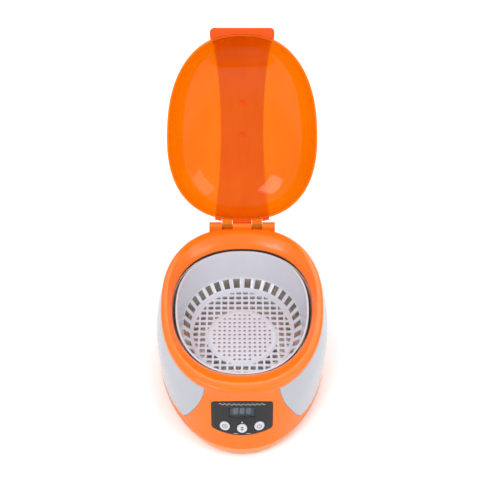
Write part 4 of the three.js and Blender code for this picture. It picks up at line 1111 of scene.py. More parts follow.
class Piece:
    """One mesh of the finished model."""

    def __init__(self, name: str, sheet: Sheet, place: Callable[[Array], Array]) -> None:
        """Weld a sheet into a mesh.

        Args:
            name: The piece's name.
            sheet: Its points and faces.
            place: The move from millimetres to the frame.
        """
        points = place(np.concatenate(sheet.points))
        mesh = bpy.data.meshes.new(name)
        mesh.from_pydata([tuple(point) for point in points], [], sheet.faces)
        work = bmesh.new()
        work.from_mesh(mesh)
        bmesh.ops.remove_doubles(work, verts=work.verts, dist=0.00001)
        loose = [vert for vert in work.verts if not vert.link_faces]
        bmesh.ops.delete(work, geom=loose, context="VERTS")
        work.to_mesh(mesh)
        work.free()
        self.object = bpy.data.objects.new(name, mesh)
        bpy.context.scene.collection.objects.link(self.object)

    def modified(self, kind: str, **settings: Any) -> "Piece":
        """Apply a modifier at once.

        Args:
            kind: The modifier's type.
            **settings: Its settings.

        Returns:
            The piece.
        """
        modifier = self.object.modifiers.new(kind.lower(), kind)
        for key, value in settings.items():
            setattr(modifier, key, value)
        bpy.context.view_layer.update()
        graph = bpy.context.evaluated_depsgraph_get()
        mesh = bpy.data.meshes.new_from_object(self.object.evaluated_get(graph))
        old = self.object.data
        self.object.modifiers.clear()
        self.object.data = mesh
        bpy.data.meshes.remove(old)
        mesh.name = self.object.name
        return self

    def thick(self, thickness: float, outwards: bool = False) -> "Piece":
        """Give a sheet its wall.

        Args:
            thickness: The wall in millimetres.
            outwards: Whether it grows along the faces' side.

        Returns:
            The piece.
        """
        offset = 1.0 if outwards else -1.0
        return self.modified(
            "SOLIDIFY", thickness=thickness * MM, offset=offset, use_even_offset=True,
            thickness_clamp=0.0,
        )

    def eased(self, width: float, segments: int = 2, angle: float = 40.0) -> "Piece":
        """Round the sharp edges.

        Args:
            width: The rounding in millimetres.
            segments: Steps across it.
            angle: Edges sharper than this many degrees are rounded.

        Returns:
            The piece.
        """
        return self.modified(
            "BEVEL", width=width * MM, segments=segments, limit_method="ANGLE",
            angle_limit=math.radians(angle), use_clamp_overlap=True,
        )

    def joined(self, other: "Piece", operation: str) -> "Piece":
        """Cut or join with another piece, which is used up.

        Args:
            other: The other piece.
            operation: UNION or DIFFERENCE.

        Returns:
            The piece.
        """
        self.modified("BOOLEAN", object=other.object, operation=operation, solver="EXACT")
        bpy.data.objects.remove(other.object)
        return self

    def smooth(self, angle: float = 35.0) -> "Piece":
        """Shade smoothly between edges sharper than an angle in degrees."""
        mesh = self.object.data
        mesh.polygons.foreach_set("use_smooth", [True] * len(mesh.polygons))
        mesh.set_sharp_from_angle(angle=math.radians(angle))
        return self

    def dressed(
        self, finish: bpy.types.Material, body: str, slot: str, stands_for: Sequence[str] = ()
    ) -> bpy.types.Object:
        """Give the piece its finish and its body.

        Args:
            finish: The material.
            body: The body it moves with.
            slot: The record's material slot; not used.
            stands_for: CAD nodes that it replaces.

        Returns:
            The Blender object.
        """
        self.object.data.materials.clear()
        self.object.data.materials.append(finish)
        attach(self.object, body)
        if stands_for:
            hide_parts(*stands_for)
        LOG.info("%s: %d faces on %s", self.object.name, len(self.object.data.polygons), body)
        return self.object


def box_sheet(low: Sequence[float], high: Sequence[float]) -> Sheet:
    """Make a block between two corners.

    Args:
        low: The lowest corner.
        high: The highest corner.

    Returns:
        Its sheet.
    """
    ring = [(low[0], low[1]), (high[0], low[1]), (high[0], high[1]), (low[0], high[1])]
    rings = [np.array([(x, y, z) for x, y in ring], float) for z in (low[2], high[2])]
    return Sheet().body(rings)


def prism_sheet(
    outline: Array, low: float, high: float, lift: Callable[[Array, float], Array]
) -> Sheet:
    """Pull an outline between two depths.

    Args:
        outline: Rows of u and v, counted against the clock seen from the high end.
        low: The lower depth.
        high: The higher depth.
        lift: Turns u, v and a depth into points.

    Returns:
        The closed sheet.
    """
    outline = counted(np.asarray(outline, float))
    return Sheet().body([lift(outline, depth) for depth in (low, high)])


# ---------------------------------------------------------------- the body


@dataclass
class Housing:
    """The orange upper housing with its ring, funnel, console and hinge block."""

    form: BodyForm
    setting: Setting
    wall: float = 2.0
    gap: float = 0.3
    panel_thickness: float = 1.8
    funnel_depth: float = 11.0
    lid_half_width: float = 78.9
    lid_front: float = -94.3
    lid_rear: float = 108.1
    side_columns: int = 60
    panel_columns: int = 80
    liner_rows: int = 26
    liner_lift: float = 0.2
    liner_lap: float = 3.0
    end_columns: int = 40
    fascia_half_width: float = 29.4
    fascia_corner: float = 3.5
    top_arch: float = 3.3
    foot_arch: float = 4.8
    inlet_size: tuple[float, float, float] = (22.0, 14.0, 25.0)

    @property
    def land(self) -> Egg:
        """The inner edge of the flat land that the lid closes on."""
        lid = Egg.between(self.lid_half_width, self.lid_front, self.lid_rear, 0.07, 2.38)
        return lid.grown(-2.6)

    def heights(self, low: float, high: float) -> Array:
        """Give the heights at which the wall is shaped, from low to high."""
        form = self.form
        fixed = [low, form.petal_tip_height, form.petal_low_height, high]
        parts = [2, 3, 24]
        runs = [np.linspace(a, b, n + 1)[:-1] for a, b, n in zip(fixed, fixed[1:], parts)]
        return np.concatenate([*runs, [high]])

    def stretches(self, egg: Egg, edge: float) -> dict[str, Array]:
        """Share an outline out between the sides, the front and the back.

        Args:
            egg: The outline.
            edge: The panels' edge from the middle plane.

        Returns:
            Angles of the right side, the back, the left side and the front.
        """
        front = egg.angle_at(edge, False)
        rear = egg.angle_at(edge, True)
        right = egg.spread(front, rear, self.side_columns)
        back = egg.spread(rear, math.pi / 2, self.end_columns // 2)
        nose = egg.spread(-math.pi / 2, front, self.end_columns // 2)
        return {
            "right": right,
            "back": np.concatenate([back, math.pi - back[-2::-1]]),
            "left": math.pi - right[::-1],
            "front": np.concatenate([math.pi - nose[:0:-1], nose + 2 * math.pi]),
        }

    def loop(self, egg: Egg, edge: float) -> Array:
        """Give all the angles round an outline, with none twice."""
        parts = self.stretches(egg, edge)
        return np.concatenate([parts[key][:-1] for key in ("right", "back", "left", "front")])

    def fascia_outline(self, grow: float) -> Array:
        """Give the outline of the control panel.

        Args:
            grow: How far outside the panel's own edge.

        Returns:
            Rows of u and v.
        """
        height = self.form.console()[1]
        side = self.fascia_half_width + grow
        top, foot = height / 2 + grow, -height / 2 - grow
        top_side, foot_side = top - self.top_arch, foot + self.foot_arch
        corner = self.fascia_corner
        path = [
            ((-side, foot_side + corner), None, 1),
            ((-side, top_side - corner), (-side, top_side), 6),
            ((corner - side, top_side + 0.4), (0, top + self.top_arch - 0.4), 30),
            ((side - corner, top_side + 0.4), (side, top_side), 6),
            ((side, top_side - corner), None, 12),
            ((side, foot_side + corner), (side, foot_side), 6),
            ((side - corner, foot_side - 0.7), (0, foot - self.foot_arch + 0.7), 30),
            ((corner - side, foot_side - 0.7), (-side, foot_side), 6),
        ]
        path[0] = (path[0][0], None, 12)
        points = []
        for i, (start, knee, steps) in enumerate(path):
            end = path[(i + 1) % len(path)][0]
            first, last = np.array(start, float), np.array(end, float)
            bend = (first + last) / 2 if knee is None else np.array(knee, float)
            for share in np.linspace(0, 1, steps, endpoint=False):
                rest = 1 - share
                points.append(rest**2 * first + 2 * share * rest * bend + share**2 * last)
        return counted(np.array(points))

    def patch(self, place: PlaneFrame, key: str, heights: Array, holes: Sequence[Array]) -> Sheet:
        """Fill the console or the back between the side panels.

        Args:
            place: The flat frame in front of it.
            key: Which stretch of the outline it is.
            heights: The heights of its edges.
            holes: Outlines of holes in it.

        Returns:
            Its sheet.
        """
        form = self.form
        first, last = [], []
        ends = []
        for z in heights:
            angles = self.stretches(form.egg(z), form.petal_edge(z))[key]
            ring = form.ring(z, angles)
            first.append(ring[0])
            last.append(ring[-1])
            ends.append(ring)
        edge = np.concatenate(
            [ends[0], np.array(last[1:]), ends[-1][::-1][1:], np.array(first[::-1])[1:-1]]
        )
        flat = place.flat(edge)
        outline = counted(flat)
        if not np.array_equal(outline, flat):
            edge = edge[::-1]
        points, faces = filled(outline, holes, 3.2)
        placed = form.on_wall(place, points[:, 0], points[:, 1], 0.0)
        for i, point in enumerate(points):
            match = np.argmin(np.sum((outline - point) ** 2, axis=1))
            if np.sum((outline[match] - point) ** 2) < 1e-8:
                placed[i] = edge[match]
        sheet = Sheet()
        sheet.add(placed, faces)
        return sheet

    def shell(self) -> Sheet:
        """Make the outside of the housing, from its lower edge over the rim into the funnel.

        Returns:
            The sheet.
        """
        form = self.form
        sheet = Sheet()
        heights = self.heights(form.parting_height + self.gap, form.band_foot)
        for key in ("right", "left"):
            rings = []
            for z in heights[:3]:
                rings.append(form.ring(z, self.stretches(form.egg(z), form.petal_edge(z))[key]))
            sheet.strip(rings, False)
        console, _ = form.console()
        width, tall, middle = self.inlet_size
        inlet = rectangle(0, middle, width + 2 * self.gap, tall + 2 * self.gap, 1.0)
        for place, key, holes in (
            (console, "front", [self.fascia_outline(self.gap)]),
            (form.back(), "back", [inlet]),
        ):
            sheet.take(self.patch(place, key, heights, holes))
        rows: list[tuple[Egg, float]] = [(form.egg(form.band_foot), form.band_foot)]
        for z in (form.band_foot + 1.5, form.band_foot + 3.2, form.rim_height - form.rim_round):
            rows.append((form.rim, z))
        for turn in np.linspace(0, math.pi / 2, 9)[1:]:
            inset = form.rim_round * (1 - math.cos(turn))
            rows.append(
                (form.rim.grown(-inset), form.rim_height - form.rim_round * (1 - math.sin(turn)))
            )
        flat_edge = form.rim.grown(-form.rim_round)
        rows.append((flat_edge.blended(self.land, 0.5), form.rim_height))
        for share in np.linspace(0, 1, 15):
            drop = self.funnel_depth * (0.7 * share + 0.3 * share**5)
            rows.append((self.land.blended(form.opening, share), form.rim_height - drop))
        rings = []
        for egg, z in rows:
            edge = form.petal_top * float(egg.half_width) / form.rim_half_width
            flat = egg.points(self.loop(egg, edge))
            rings.append(np.column_stack([flat, form.lean(flat[:, 1], np.full(len(flat), z))]))
        base = form.egg(form.band_foot)
        rings[0] = form.ring(form.band_foot, self.loop(base, form.petal_top))
        sheet.strip(rings, True)
        return sheet

    def side_wall(
        self, side: int, heights: Iterable[float], edge_gap: float, offset: float, columns: int
    ) -> Sheet:
        """Make a stretch of wall at one side, between the console and the back.

        Args:
            side: 1 for the right, -1 for the left.
            heights: The heights of its rows.
            edge_gap: How far its ends lie inside the panel's edge line.
            offset: How far outside the body's wall.
            columns: How many points in a row.

        Returns:
            The sheet.
        """
        form = self.form
        rings = []
        for z in heights:
            egg = form.egg(z)
            edge = form.petal_edge(z) + edge_gap
            angles = egg.spread(egg.angle_at(edge, False), egg.angle_at(edge, True), columns)
            ring = form.ring(z, angles, offset)
            ring[:, 0] *= side
            rings.append(ring)
        sheet = Sheet()
        sheet.strip(rings, False)
        return sheet if side > 0 else sheet.turned()

    def liner(self, side: int) -> Sheet:
        """Make the wall behind a side panel.

        Args:
            side: 1 for the right, -1 for the left.

        Returns:
            The sheet.
        """
        low = self.form.parting_height + self.gap + self.liner_lift
        high = self.form.band_foot + self.liner_lap
        offset = -self.panel_thickness - self.gap
        heights = np.linspace(low, high, self.liner_rows)
        return self.side_wall(side, heights, -self.liner_lap, offset, self.side_columns)

    def panel(self, side: int) -> Sheet:
        """Make the outside of a side panel.

        Args:
            side: 1 for the right, -1 for the left.

        Returns:
            The sheet.
        """
        form = self.form
        heights = self.heights(form.petal_tip_height + self.gap, form.band_foot - self.gap)
        heights = sorted(set(np.round(heights, 6)))
        return self.side_wall(side, heights, self.gap, 0.0, self.panel_columns)

    def build(self, finishes: Finishes) -> None:
        """Make and dress the housing, its liners and the side panels.

        Args:
            finishes: The cleaner's finishes.
        """
        place = self.setting.body
        shell = Piece("housing_shell", self.shell(), place).thick(self.wall).eased(0.35, 2, 50)
        shell.smooth(38).dressed(
            finishes["orange_shell"], "body", "orange_plastic", ["upper_housing"]
        )
        for side, name in ((-1, "left"), (1, "right")):
            liner = Piece(f"housing_liner_{name}", self.liner(side), place).thick(1.6)
            liner.smooth().dressed(
                finishes["orange_shell"], "body", "orange_plastic", ["upper_housing"]
            )
            panel = Piece(f"side_petal_{name}", self.panel(side), place)
            panel.thick(self.panel_thickness).eased(0.5, 3, 50).smooth(38).dressed(
                finishes["white_panel"], "body", "white_plastic", [f"side_panel_{name}"]
            )


@dataclass
class HingeBlock:
    """The block at the back of the rim that carries the lid's pin."""

    form: BodyForm
    setting: Setting
    radius: float = 3.9
    half_width: float = 36.0
    lug_near: float = 10.4
    lug_far: float = 22.2
    lug_floor: float = 4.0
    pin_radius: float = 1.8

    def profile(self) -> Array:
        """Give the block's section in y and z about the hinge axis."""
        foot = -12.5
        turn = np.linspace(0, math.pi, 15)
        arc = np.column_stack([self.radius * np.cos(turn), self.radius * np.sin(turn)])
        return np.vstack([[(-self.radius, foot), (self.radius, foot)], arc])

    def build(self, finishes: Finishes) -> None:
        """Make and dress the block.

        Args:
            finishes: The cleaner's finishes.
        """
        hinge = self.setting.hinge

        def lift(outline: Array, depth: float) -> Array:
            """Turn y, z and a place along X into points."""
            return np.column_stack([np.full(len(outline), depth), outline]) + hinge

        block = Piece(
            "hinge_block",
            prism_sheet(self.profile(), -self.half_width, self.half_width, lift),
            self.setting.body,
        )
        for side in (-1, 1):
            ends = sorted((side * self.lug_near, side * self.lug_far))
            low = (ends[0], hinge[1] - 6, hinge[2] - self.lug_floor)
            high = (ends[1], hinge[1] + 8, hinge[2] + 6)
            block.joined(Piece("slot_tool", box_sheet(low, high), self.setting.body), "DIFFERENCE")
        bore = prism_sheet(circle(0, 0, self.pin_radius, 24), -32, 32, lift)
        block.joined(Piece("bore_tool", bore, self.setting.body), "DIFFERENCE")
        block.eased(0.45, 3, 50).smooth().dressed(
            finishes["orange_shell"], "body", "orange_plastic", ["upper_housing"]
        )


@dataclass
class BottomCover:
    """The orange tray that closes the body from below."""

    form: BodyForm
    setting: Setting
    housing: Housing
    underside: float = 2.6
    wall: float = 2.4
    step: float = 0.4

    def build(self, finishes: Finishes) -> None:
        """Make and dress the tray.

        Args:
            finishes: The cleaner's finishes.
        """
        form = self.form
        top = form.parting_height
        egg = form.egg(top)
        angles = self.housing.loop(egg, form.petal_tip)
        rows = [(-30.0, self.underside + 0.6), (-14.0, self.underside + 0.6)]
        rows += [(-12.5, self.underside), (-9.0, self.underside)]
        for turn in np.linspace(0, math.pi / 2, 12)[1:]:
            reach = -9.0 + (9.0 + self.step) * math.sin(turn) ** 0.9
            height = self.underside + (top - self.underside) * (1 - math.cos(turn) ** 1.1)
            rows.append((reach, height))
        rows += [(-5.1, top), (-5.1, top + 3), (-6.5, top + 3), (-6.5, top - 2)]
        rows += [(-9.5, self.underside + self.wall), (-30.0, self.underside + self.wall)]
        rings = []
        for offset, z in rows:
            shape = form.egg(min(max(z, 2.6), top))
            flat = shape.grown(offset).points(angles)
            rings.append(np.column_stack([flat, np.full(len(flat), z)]))
        cover = Piece("base_tray", Sheet().body(rings), self.setting.body).eased(0.3, 2, 60)
        # The tray is the shell's orange plastic, painted paler as a painted reflection of the
        # floor
        cover.smooth(40).dressed(
            finishes["orange_base_painted_floor_reflection"], "body", "orange_plastic", ["bottom_cover"]
        )


# ---------------------------------------------------------------- tank and basket


@dataclass
class Vessel:
    """The hollow that the tank and the basket share."""

    form: BodyForm
    floor: float = 38.0
    rim: float = 75.5
    basket_inset: float = 1.5
    side_inset: float = 2.8
    shoulder: float = 44.8
    shoulder_insets: tuple[float, float, float] = (4.9, 9.5, 10.8)
    floor_insets: tuple[float, float, float] = (8.0, 8.0, 9.8)

    @staticmethod
    def within(base: Egg, insets: Sequence[float], taper: float, power: float) -> Egg:
        """Make an egg inside another.

        Args:
            base: The outer egg.
            insets: How far inside it lies at the sides, the front and the rear.
            taper: Its taper.
            power: Its roundness.

        Returns:
            The inner egg.
        """
        side, front, rear = insets
        low = base.centre - base.half_length + front
        high = base.centre + base.half_length - rear
        return Egg.between(base.half_width - side, low, high, taper, power)

    @property
    def rim_egg(self) -> Egg:
        """The basket's outline at its rim."""
        opening = self.form.opening
        insets = (self.side_inset, self.basket_inset, self.basket_inset)
        return self.within(opening, insets, opening.taper, opening.power)

    @property
    def shoulder_egg(self) -> Egg:
        """The basket's outline at the top of its slotted slope."""
        return self.within(self.rim_egg, self.shoulder_insets, 0.045, 2.15)

    @property
    def floor_egg(self) -> Egg:
        """The basket's outline at its floor."""
        return self.within(self.shoulder_egg, self.floor_insets, 0.04, 2.1)

    def egg(self, z: float, offset: float) -> Egg:
        """Give the outline at a height, moved out by an offset."""
        share = (z - self.shoulder) / (self.rim - self.shoulder)
        return self.shoulder_egg.blended(self.rim_egg, share).grown(offset)

    def ring(self, egg: Egg, z: float, angles: Array) -> Array:
        """Give an outline's points at a height, sloped as the rim is."""
        flat = egg.points(angles)
        return np.column_stack([flat, self.form.lean(flat[:, 1], np.full(len(flat), float(z)))])


@dataclass
class Tank:
    """The drawn steel tank under the ring."""

    vessel: Vessel
    setting: Setting
    floor: float = 27.0
    clearance: float = 2.5
    corner: float = 2.2
    flange: float = 72.4
    flange_reach: float = 5.2
    wall: float = 1.0

    def build(self, finishes: Finishes) -> None:
        """Make and dress the tank.

        Args:
            finishes: The cleaner's finishes.
        """
        vessel = self.vessel
        angles = np.linspace(0, 2 * math.pi, 168, endpoint=False)
        rings = []
        for share in np.linspace(0.1, 0.9, 9):
            egg = vessel.egg(self.floor, self.clearance - self.corner).scaled(share)
            dish = 0.5 * (1 - math.cos(share * math.pi)) * 0.35
            rings.append(vessel.ring(egg, self.floor + 0.35 - dish, angles))
        for turn in np.linspace(0, math.pi / 2, 6):
            z = self.floor + self.corner * (1 - math.cos(turn))
            inset = self.corner * (1 - math.sin(turn))
            rings.append(vessel.ring(vessel.egg(z, self.clearance - inset), z, angles))
        for z in np.linspace(self.floor + self.corner + 3, self.flange - 3.5, 13):
            rings.append(vessel.ring(vessel.egg(z, self.clearance), z, angles))
        mouth = vessel.form.opening.grown(self.clearance - vessel.basket_inset)
        for turn in np.linspace(0.25, 1, 4):
            wall = vessel.egg(self.flange - 2.5, self.clearance)
            z = self.flange - 2.5 + 2.5 * math.sin(turn * math.pi / 2)
            rings.append(vessel.ring(wall.blended(mouth.grown(0.4), turn), z, angles))
        edge = vessel.form.opening.grown(self.flange_reach)
        rings.append(vessel.ring(edge, self.flange, angles))
        sheet = Sheet()
        sheet.strip(rings, True)
        sheet.cap(rings[0], False)
        tank = Piece("steel_tank", sheet.turned(), self.setting.body).thick(self.wall)
        tank.smooth(40).dressed(finishes["drawn_steel"], "body", "tank_steel", ["tank"])


@dataclass
class Basket:
    """The lift-out basket: a wall, a slotted slope, a grid floor and a fine sieve."""

    vessel: Vessel
    setting: Setting
    wall: float = 1.8
    slots: int = 36
    slot_low: float = 0.13
    slot_high: float = 0.9
    grid_pitch: float = 7.5
    margin_side: float = 4.6
    margin_front: float = 3.4
    margin_rear: float = 6.3
    hole_width: float = 5.3
    hole_depth: float = 4.6
    sieve_radius: float = 36.8
    sieve_back: float = 7.2
    fine_pitch: float = 5.28
    fine_rows: float = 5.54
    fine_width: float = 2.4
    fine_radius: float = 31.5
    step_radius: float = 36.0
    step_rise: float = 0.6
    foot_radius: float = 1.8
    foot_low: float = 27.3
    foot_inset: float = 3.6

    @property
    def sieve_y(self) -> float:
        """The middle of the fine sieve."""
        return float(self.vessel.floor_egg.centre) - self.sieve_back

    def clipped(self, corners: Array, normal: Array, reach: float) -> Array:
        """Cut an outline along a straight line.

        Args:
            corners: The outline.
            normal: The line's direction outwards.
            reach: The line's distance from the origin along it.

        Returns:
            What lies inside the line.
        """
        kept = []
        for i, corner in enumerate(corners):
            after = corners[(i + 1) % len(corners)]
            here, there = corner @ normal - reach, after @ normal - reach
            if here <= 0:
                kept.append(corner)
            if here * there < 0:
                kept.append(corner + (after - corner) * here / (here - there))
        return np.array(kept)

    def grid_holes(self) -> list[Array]:
        """Give the coarse holes of the floor, cut short at the sieve and at the border.

        Returns:
            Their outlines.
        """
        floor = self.vessel.floor_egg
        front = float(floor.centre - floor.half_length) + self.margin_front
        rear = float(floor.centre + floor.half_length) - self.margin_rear
        middle = np.array([0.0, (front + rear) / 2])
        radii = np.array([float(floor.half_width) - self.margin_side, (rear - front) / 2])
        sieve = np.array([0.0, self.sieve_y])
        holes = []
        for row in range(-9, 10):
            y = self.sieve_y + self.grid_pitch * (row + 0.5)
            for column in range(-8, 8):
                centre = np.array([self.grid_pitch * (column + 0.5), y])
                half = np.array([self.hole_width, self.hole_depth]) / 2
                corners = centre + np.array([(-1, -1), (1, -1), (1, 1), (-1, 1)]) * half
                away = (centre - middle) / radii
                size = float(np.linalg.norm(away))
                if size > 1.15:
                    continue
                slope = away / radii
                normal = slope / max(float(np.linalg.norm(slope)), 1e-9)
                border = middle + (centre - middle) / max(size, 1e-9)
                corners = self.clipped(corners, normal, float(border @ normal))
                if len(corners) < 3:
                    continue
                out = centre - sieve
                inward = -out / float(np.linalg.norm(out))
                edge = sieve - inward * (self.sieve_radius + 0.3)
                corners = self.clipped(corners, inward, float(edge @ inward))
                if len(corners) < 3:
                    continue
                x, z = corners[:, 0], corners[:, 1]
                area = abs(np.sum(x * np.roll(z, -1) - np.roll(x, -1) * z)) / 2
                sides = np.linalg.norm(corners - np.roll(corners, -1, axis=0), axis=1)
                if area < 3.4:
                    continue
                if sides.min() < 0.5:
                    corners = corners[sides > 0.5]
                if len(corners) >= 3:
                    holes.append(rounded([tuple(corner) for corner in corners], 0.5, 2))
        return holes

    def fine_holes(self) -> list[Array]:
        """Give the small square holes of the sieve."""
        holes = []
        for row in range(-6, 6):
            for column in range(-6, 6):
                u = self.fine_pitch * (column + 0.5)
                v = self.fine_rows * (row + 0.5)
                if math.hypot(u, v) < self.fine_radius:
                    holes.append(
                        rectangle(u, v + self.sieve_y, self.fine_width, self.fine_width - 0.2, 0.5)
                    )
        return holes

    def shell(self) -> Sheet:
        """Make the outside of the basket: floor, slotted slope and wall.

        Returns:
            The sheet.
        """
        vessel = self.vessel
        parts = np.array([0, 0.2, 0.35, 0.5, 0.65, 0.8])
        angles = np.concatenate([(i + parts) for i in range(self.slots)])
        angles = angles * 2 * math.pi / self.slots
        floor = vessel.floor_egg
        under = vessel.floor - self.wall
        base = vessel.ring(floor.grown(-4.5), under, angles)
        rings = [base, vessel.ring(floor.grown(-2.4), under, angles)]
        foot, top = floor.grown(-1.0), vessel.shoulder_egg

        def slope(share: float, rise: float = 0.0) -> Array:
            """Give a ring part of the way up the slotted slope."""
            z = under + share * (vessel.shoulder - under) + rise
            return vessel.ring(foot.blended(top, share), z, angles)

        rings.append(vessel.ring(floor.grown(-1.6), under + 0.2, angles))
        rings.append(slope(0.06, 0.1))
        slot_rows = np.linspace(self.slot_low, self.slot_high, 5)
        first_slot = len(rings)
        rings += [slope(share) for share in slot_rows]
        rings.append(slope(0.95, 0.15))
        bend = vessel.shoulder + 0.6
        rings.append(vessel.ring(vessel.egg(bend, -0.15), bend, angles))
        for z in np.linspace(vessel.shoulder + 1.6, vessel.rim, 12):
            rings.append(vessel.ring(vessel.egg(z, 0), z, angles))
        last_slot = first_slot + len(slot_rows) - 1

        def is_slot(row: int, column: int) -> bool:
            """Tell whether a face lies in a slot."""
            return first_slot <= row < last_slot and 1 <= column % len(parts) <= 4

        sheet = Sheet()
        sheet.strip(rings, True, is_slot)
        steps = [circle(0, self.sieve_y, self.step_radius + extra, 96) for extra in (-0.8, 0)]
        holes = self.grid_holes() + self.fine_holes()
        points, faces = filled(base[:, :2], holes, 4.5, steps)
        away = np.hypot(points[:, 0], points[:, 1] - self.sieve_y)
        rise = np.clip((self.step_radius - away) / 0.8, 0, 1) * self.step_rise
        flat = Sheet()
        flat.add(np.column_stack([points, under + rise]), faces)
        flat.turned()
        sheet.take(flat)
        return sheet

    def feet(self) -> Sheet:
        """Make the four pegs that the basket stands on.

        Returns:
            The sheet.
        """
        sheet = Sheet()
        under = self.vessel.floor - self.wall
        egg = self.vessel.floor_egg.grown(-self.foot_inset)
        for degrees in (35, 145, 215, 325):
            x, y = egg.points(np.array([math.radians(degrees)]))[0]
            rings = []
            for turn in np.linspace(0.15, math.pi / 2, 6):
                radius = self.foot_radius * math.sin(turn)
                z = self.foot_low + self.foot_radius * (1 - math.cos(turn))
                rings.append(np.column_stack([circle(x, y, radius, 20), np.full(20, z)]))
            rings.append(
                np.column_stack([circle(x, y, self.foot_radius, 20), np.full(20, under + 0.5)])
            )
            sheet.body(rings)
        return sheet

    def build(self, finishes: Finishes) -> None:
        """Make and dress the basket and its feet.

        Args:
            finishes: The cleaner's finishes.
        """
        place = self.setting.body
        shell = Piece("basket_shell", self.shell(), place).thick(self.wall).eased(0.3, 2, 48)
        shell.smooth(38).dressed(
            finishes["basket_white"], "basket", "basket_plastic", ["basket"]
        )
        feet = Piece("basket_feet", self.feet(), place).smooth(50)
        feet.dressed(finishes["basket_white"], "basket", "basket_plastic", ["basket"])


# ---------------------------------------------------------------- the lid


@dataclass
class Lid:
    """The clear lid: a domed shell, a strap over it, a finger tab and hinge lugs."""

    setting: Setting
    half_width: float = 78.9
    front: float = -94.3
    rear: float = 108.1
    rise: float = 50.0
    wall: float = 2.0
    power: float = 2.25
    skirt: float = 2.0
    gap: float = 0.3
    hinge_rise: float = 3.0
    open_turn: float = math.radians(-109.0)
    strap_thickness: float = 2.3
    strap_rear: float = 29.5
    strap_middle: float = 23.3
    strap_front: float = 32.5
    tab_reach: float = 7.0
    tab_thickness: float = 3.6
    tab_root: float = 6.0
    tab_corner: float = 6.0
    lug_near: float = 10.8
    lug_far: float = 21.8
    lug_radius: float = 3.6
    place: Callable[[Array], Array] = field(init=False)

    def __post_init__(self) -> None:
        """Find the move to the open lid."""
        self.place = self.setting.lid(self.open_turn)

    @property
    def rim_z(self) -> float:
        """The lid's rim, from the hinge axis."""
        return self.gap - self.hinge_rise

    @property
    def egg(self) -> Egg:
        """The lid's outline about the hinge axis."""
        hinge_y = float(self.setting.hinge[1])
        return Egg.between(self.half_width, self.front - hinge_y, self.rear - hinge_y, 0.07, 2.38)

    def dome_ring(self, turn: float, offset: float, angles: Array) -> Array:
        """Give a ring of the dome.

        Args:
            turn: 0 at the skirt and a quarter turn at the top.
            offset: How far outside the shell.
            angles: Angles round it.

        Returns:
            Its points.
        """
        shrink = max(math.cos(turn), 0.0) ** (2 / self.power)
        rise = math.sin(turn) ** (2 / self.power)
        flat = self.egg.grown(offset).scaled(shrink).points(angles)
        z = self.rim_z + self.skirt + (self.rise - self.skirt + offset) * rise
        return np.column_stack([flat, np.full(len(flat), z)])

    def shell(self) -> Sheet:
        """Make the outside of the dome.

        Returns:
            The sheet.
        """
        egg = self.egg
        angles = egg.spread(0, 2 * math.pi, 176)[:-1]
        skirt = egg.points(angles)
        rings = [np.column_stack([skirt, np.full(len(skirt), self.rim_z)])]
        for turn in (math.pi / 2) * (np.linspace(0, 1, 44)[:-1]) ** 1.05:
            rings.append(self.dome_ring(float(turn), 0.0, angles))
        sheet = Sheet()
        sheet.strip(rings, True)
        top = Sheet()
        top.cap(rings[-1], True)
        apex = top.points[0]
        apex[-1, 2] = self.rim_z + self.rise
        sheet.add(apex, top.faces)
        return sheet

    def outside(self, points: Array, offset: float) -> Array:
        """Tell which points lie outside the dome, moved out by an offset."""
        level = points[..., 2] - self.rim_z - self.skirt
        rise = np.clip(level / (self.rise - self.skirt + offset), 0, 1)
        shrink = np.maximum(1 - rise**self.power, 1e-9) ** (1 / self.power)
        egg = self.egg.grown(offset).scaled(shrink)
        return (egg.outside(points[..., 0], points[..., 1]) > 0) | (rise >= 1)

    def profile(self, offset: float, count: int) -> tuple[Array, Array]:
        """Give the dome's line over the middle plane, from the rear edge to the front edge.

        Args:
            offset: How far outside the shell.
            count: How many parts.

        Returns:
            Points in y and z, and the directions out of the dome.
        """
        egg = self.egg.grown(offset)
        turn = np.linspace(0, math.pi, 600)
        shrink = np.sign(np.cos(turn)) * np.abs(np.cos(turn)) ** (2 / self.power)
        rise = np.abs(np.sin(turn)) ** (2 / self.power)
        y = egg.centre + egg.half_length * shrink
        z = self.rim_z + self.skirt + (self.rise - self.skirt + offset) * rise
        line = np.column_stack([y, z])
        line = np.vstack([(line[0, 0], self.rim_z), line, (line[-1, 0], self.rim_z)])
        steps = np.linalg.norm(np.diff(line, axis=0), axis=1)
        length = np.concatenate([[0], np.cumsum(steps)])
        at = np.linspace(0, length[-1], count + 1)
        points = np.column_stack([np.interp(at, length, line[:, i]) for i in range(2)])
        away = np.gradient(points, axis=0)
        normal = np.column_stack([away[:, 1], -away[:, 0]])
        return points, normal / np.linalg.norm(normal, axis=1, keepdims=True)

    def half_band(self, y: Array) -> Array:
        """Give half the strap's width at places along the lid."""
        egg = self.egg
        start = egg.centre + egg.half_length + self.strap_thickness + 1
        end = egg.centre - egg.half_length - self.tab_reach
        share = np.clip((start - y) / (start - end), 0, 1)
        waist = 2 * self.strap_middle - (self.strap_rear + self.strap_front) / 2
        rest = 1 - share
        return (
            rest**2 * self.strap_rear + 2 * share * rest * waist + share**2 * self.strap_front
        )

    def strap(self) -> Sheet:
        """Make the inside face of the strap, which follows the dome.

        Returns:
            The sheet.
        """
        line, out = self.profile(self.gap, 96)
        half = self.half_band(line[:, 0])
        rings = []
        for share in np.linspace(-1, 1, 33):
            x = half * share
            low, high = np.full(len(x), -1.0), np.full(len(x), 40.0)
            for _ in range(40):
                middle = (low + high) / 2
                at = line - out * middle[:, None]
                points = np.column_stack([x, at])
                outside = self.outside(points, self.gap)
                low = np.where(outside, middle, low)
                high = np.where(outside, high, middle)
            at = line - out * ((low + high) / 2)[:, None]
            rings.append(np.column_stack([x, at]))
        sheet = Sheet()
        sheet.strip(rings, False)
        return sheet

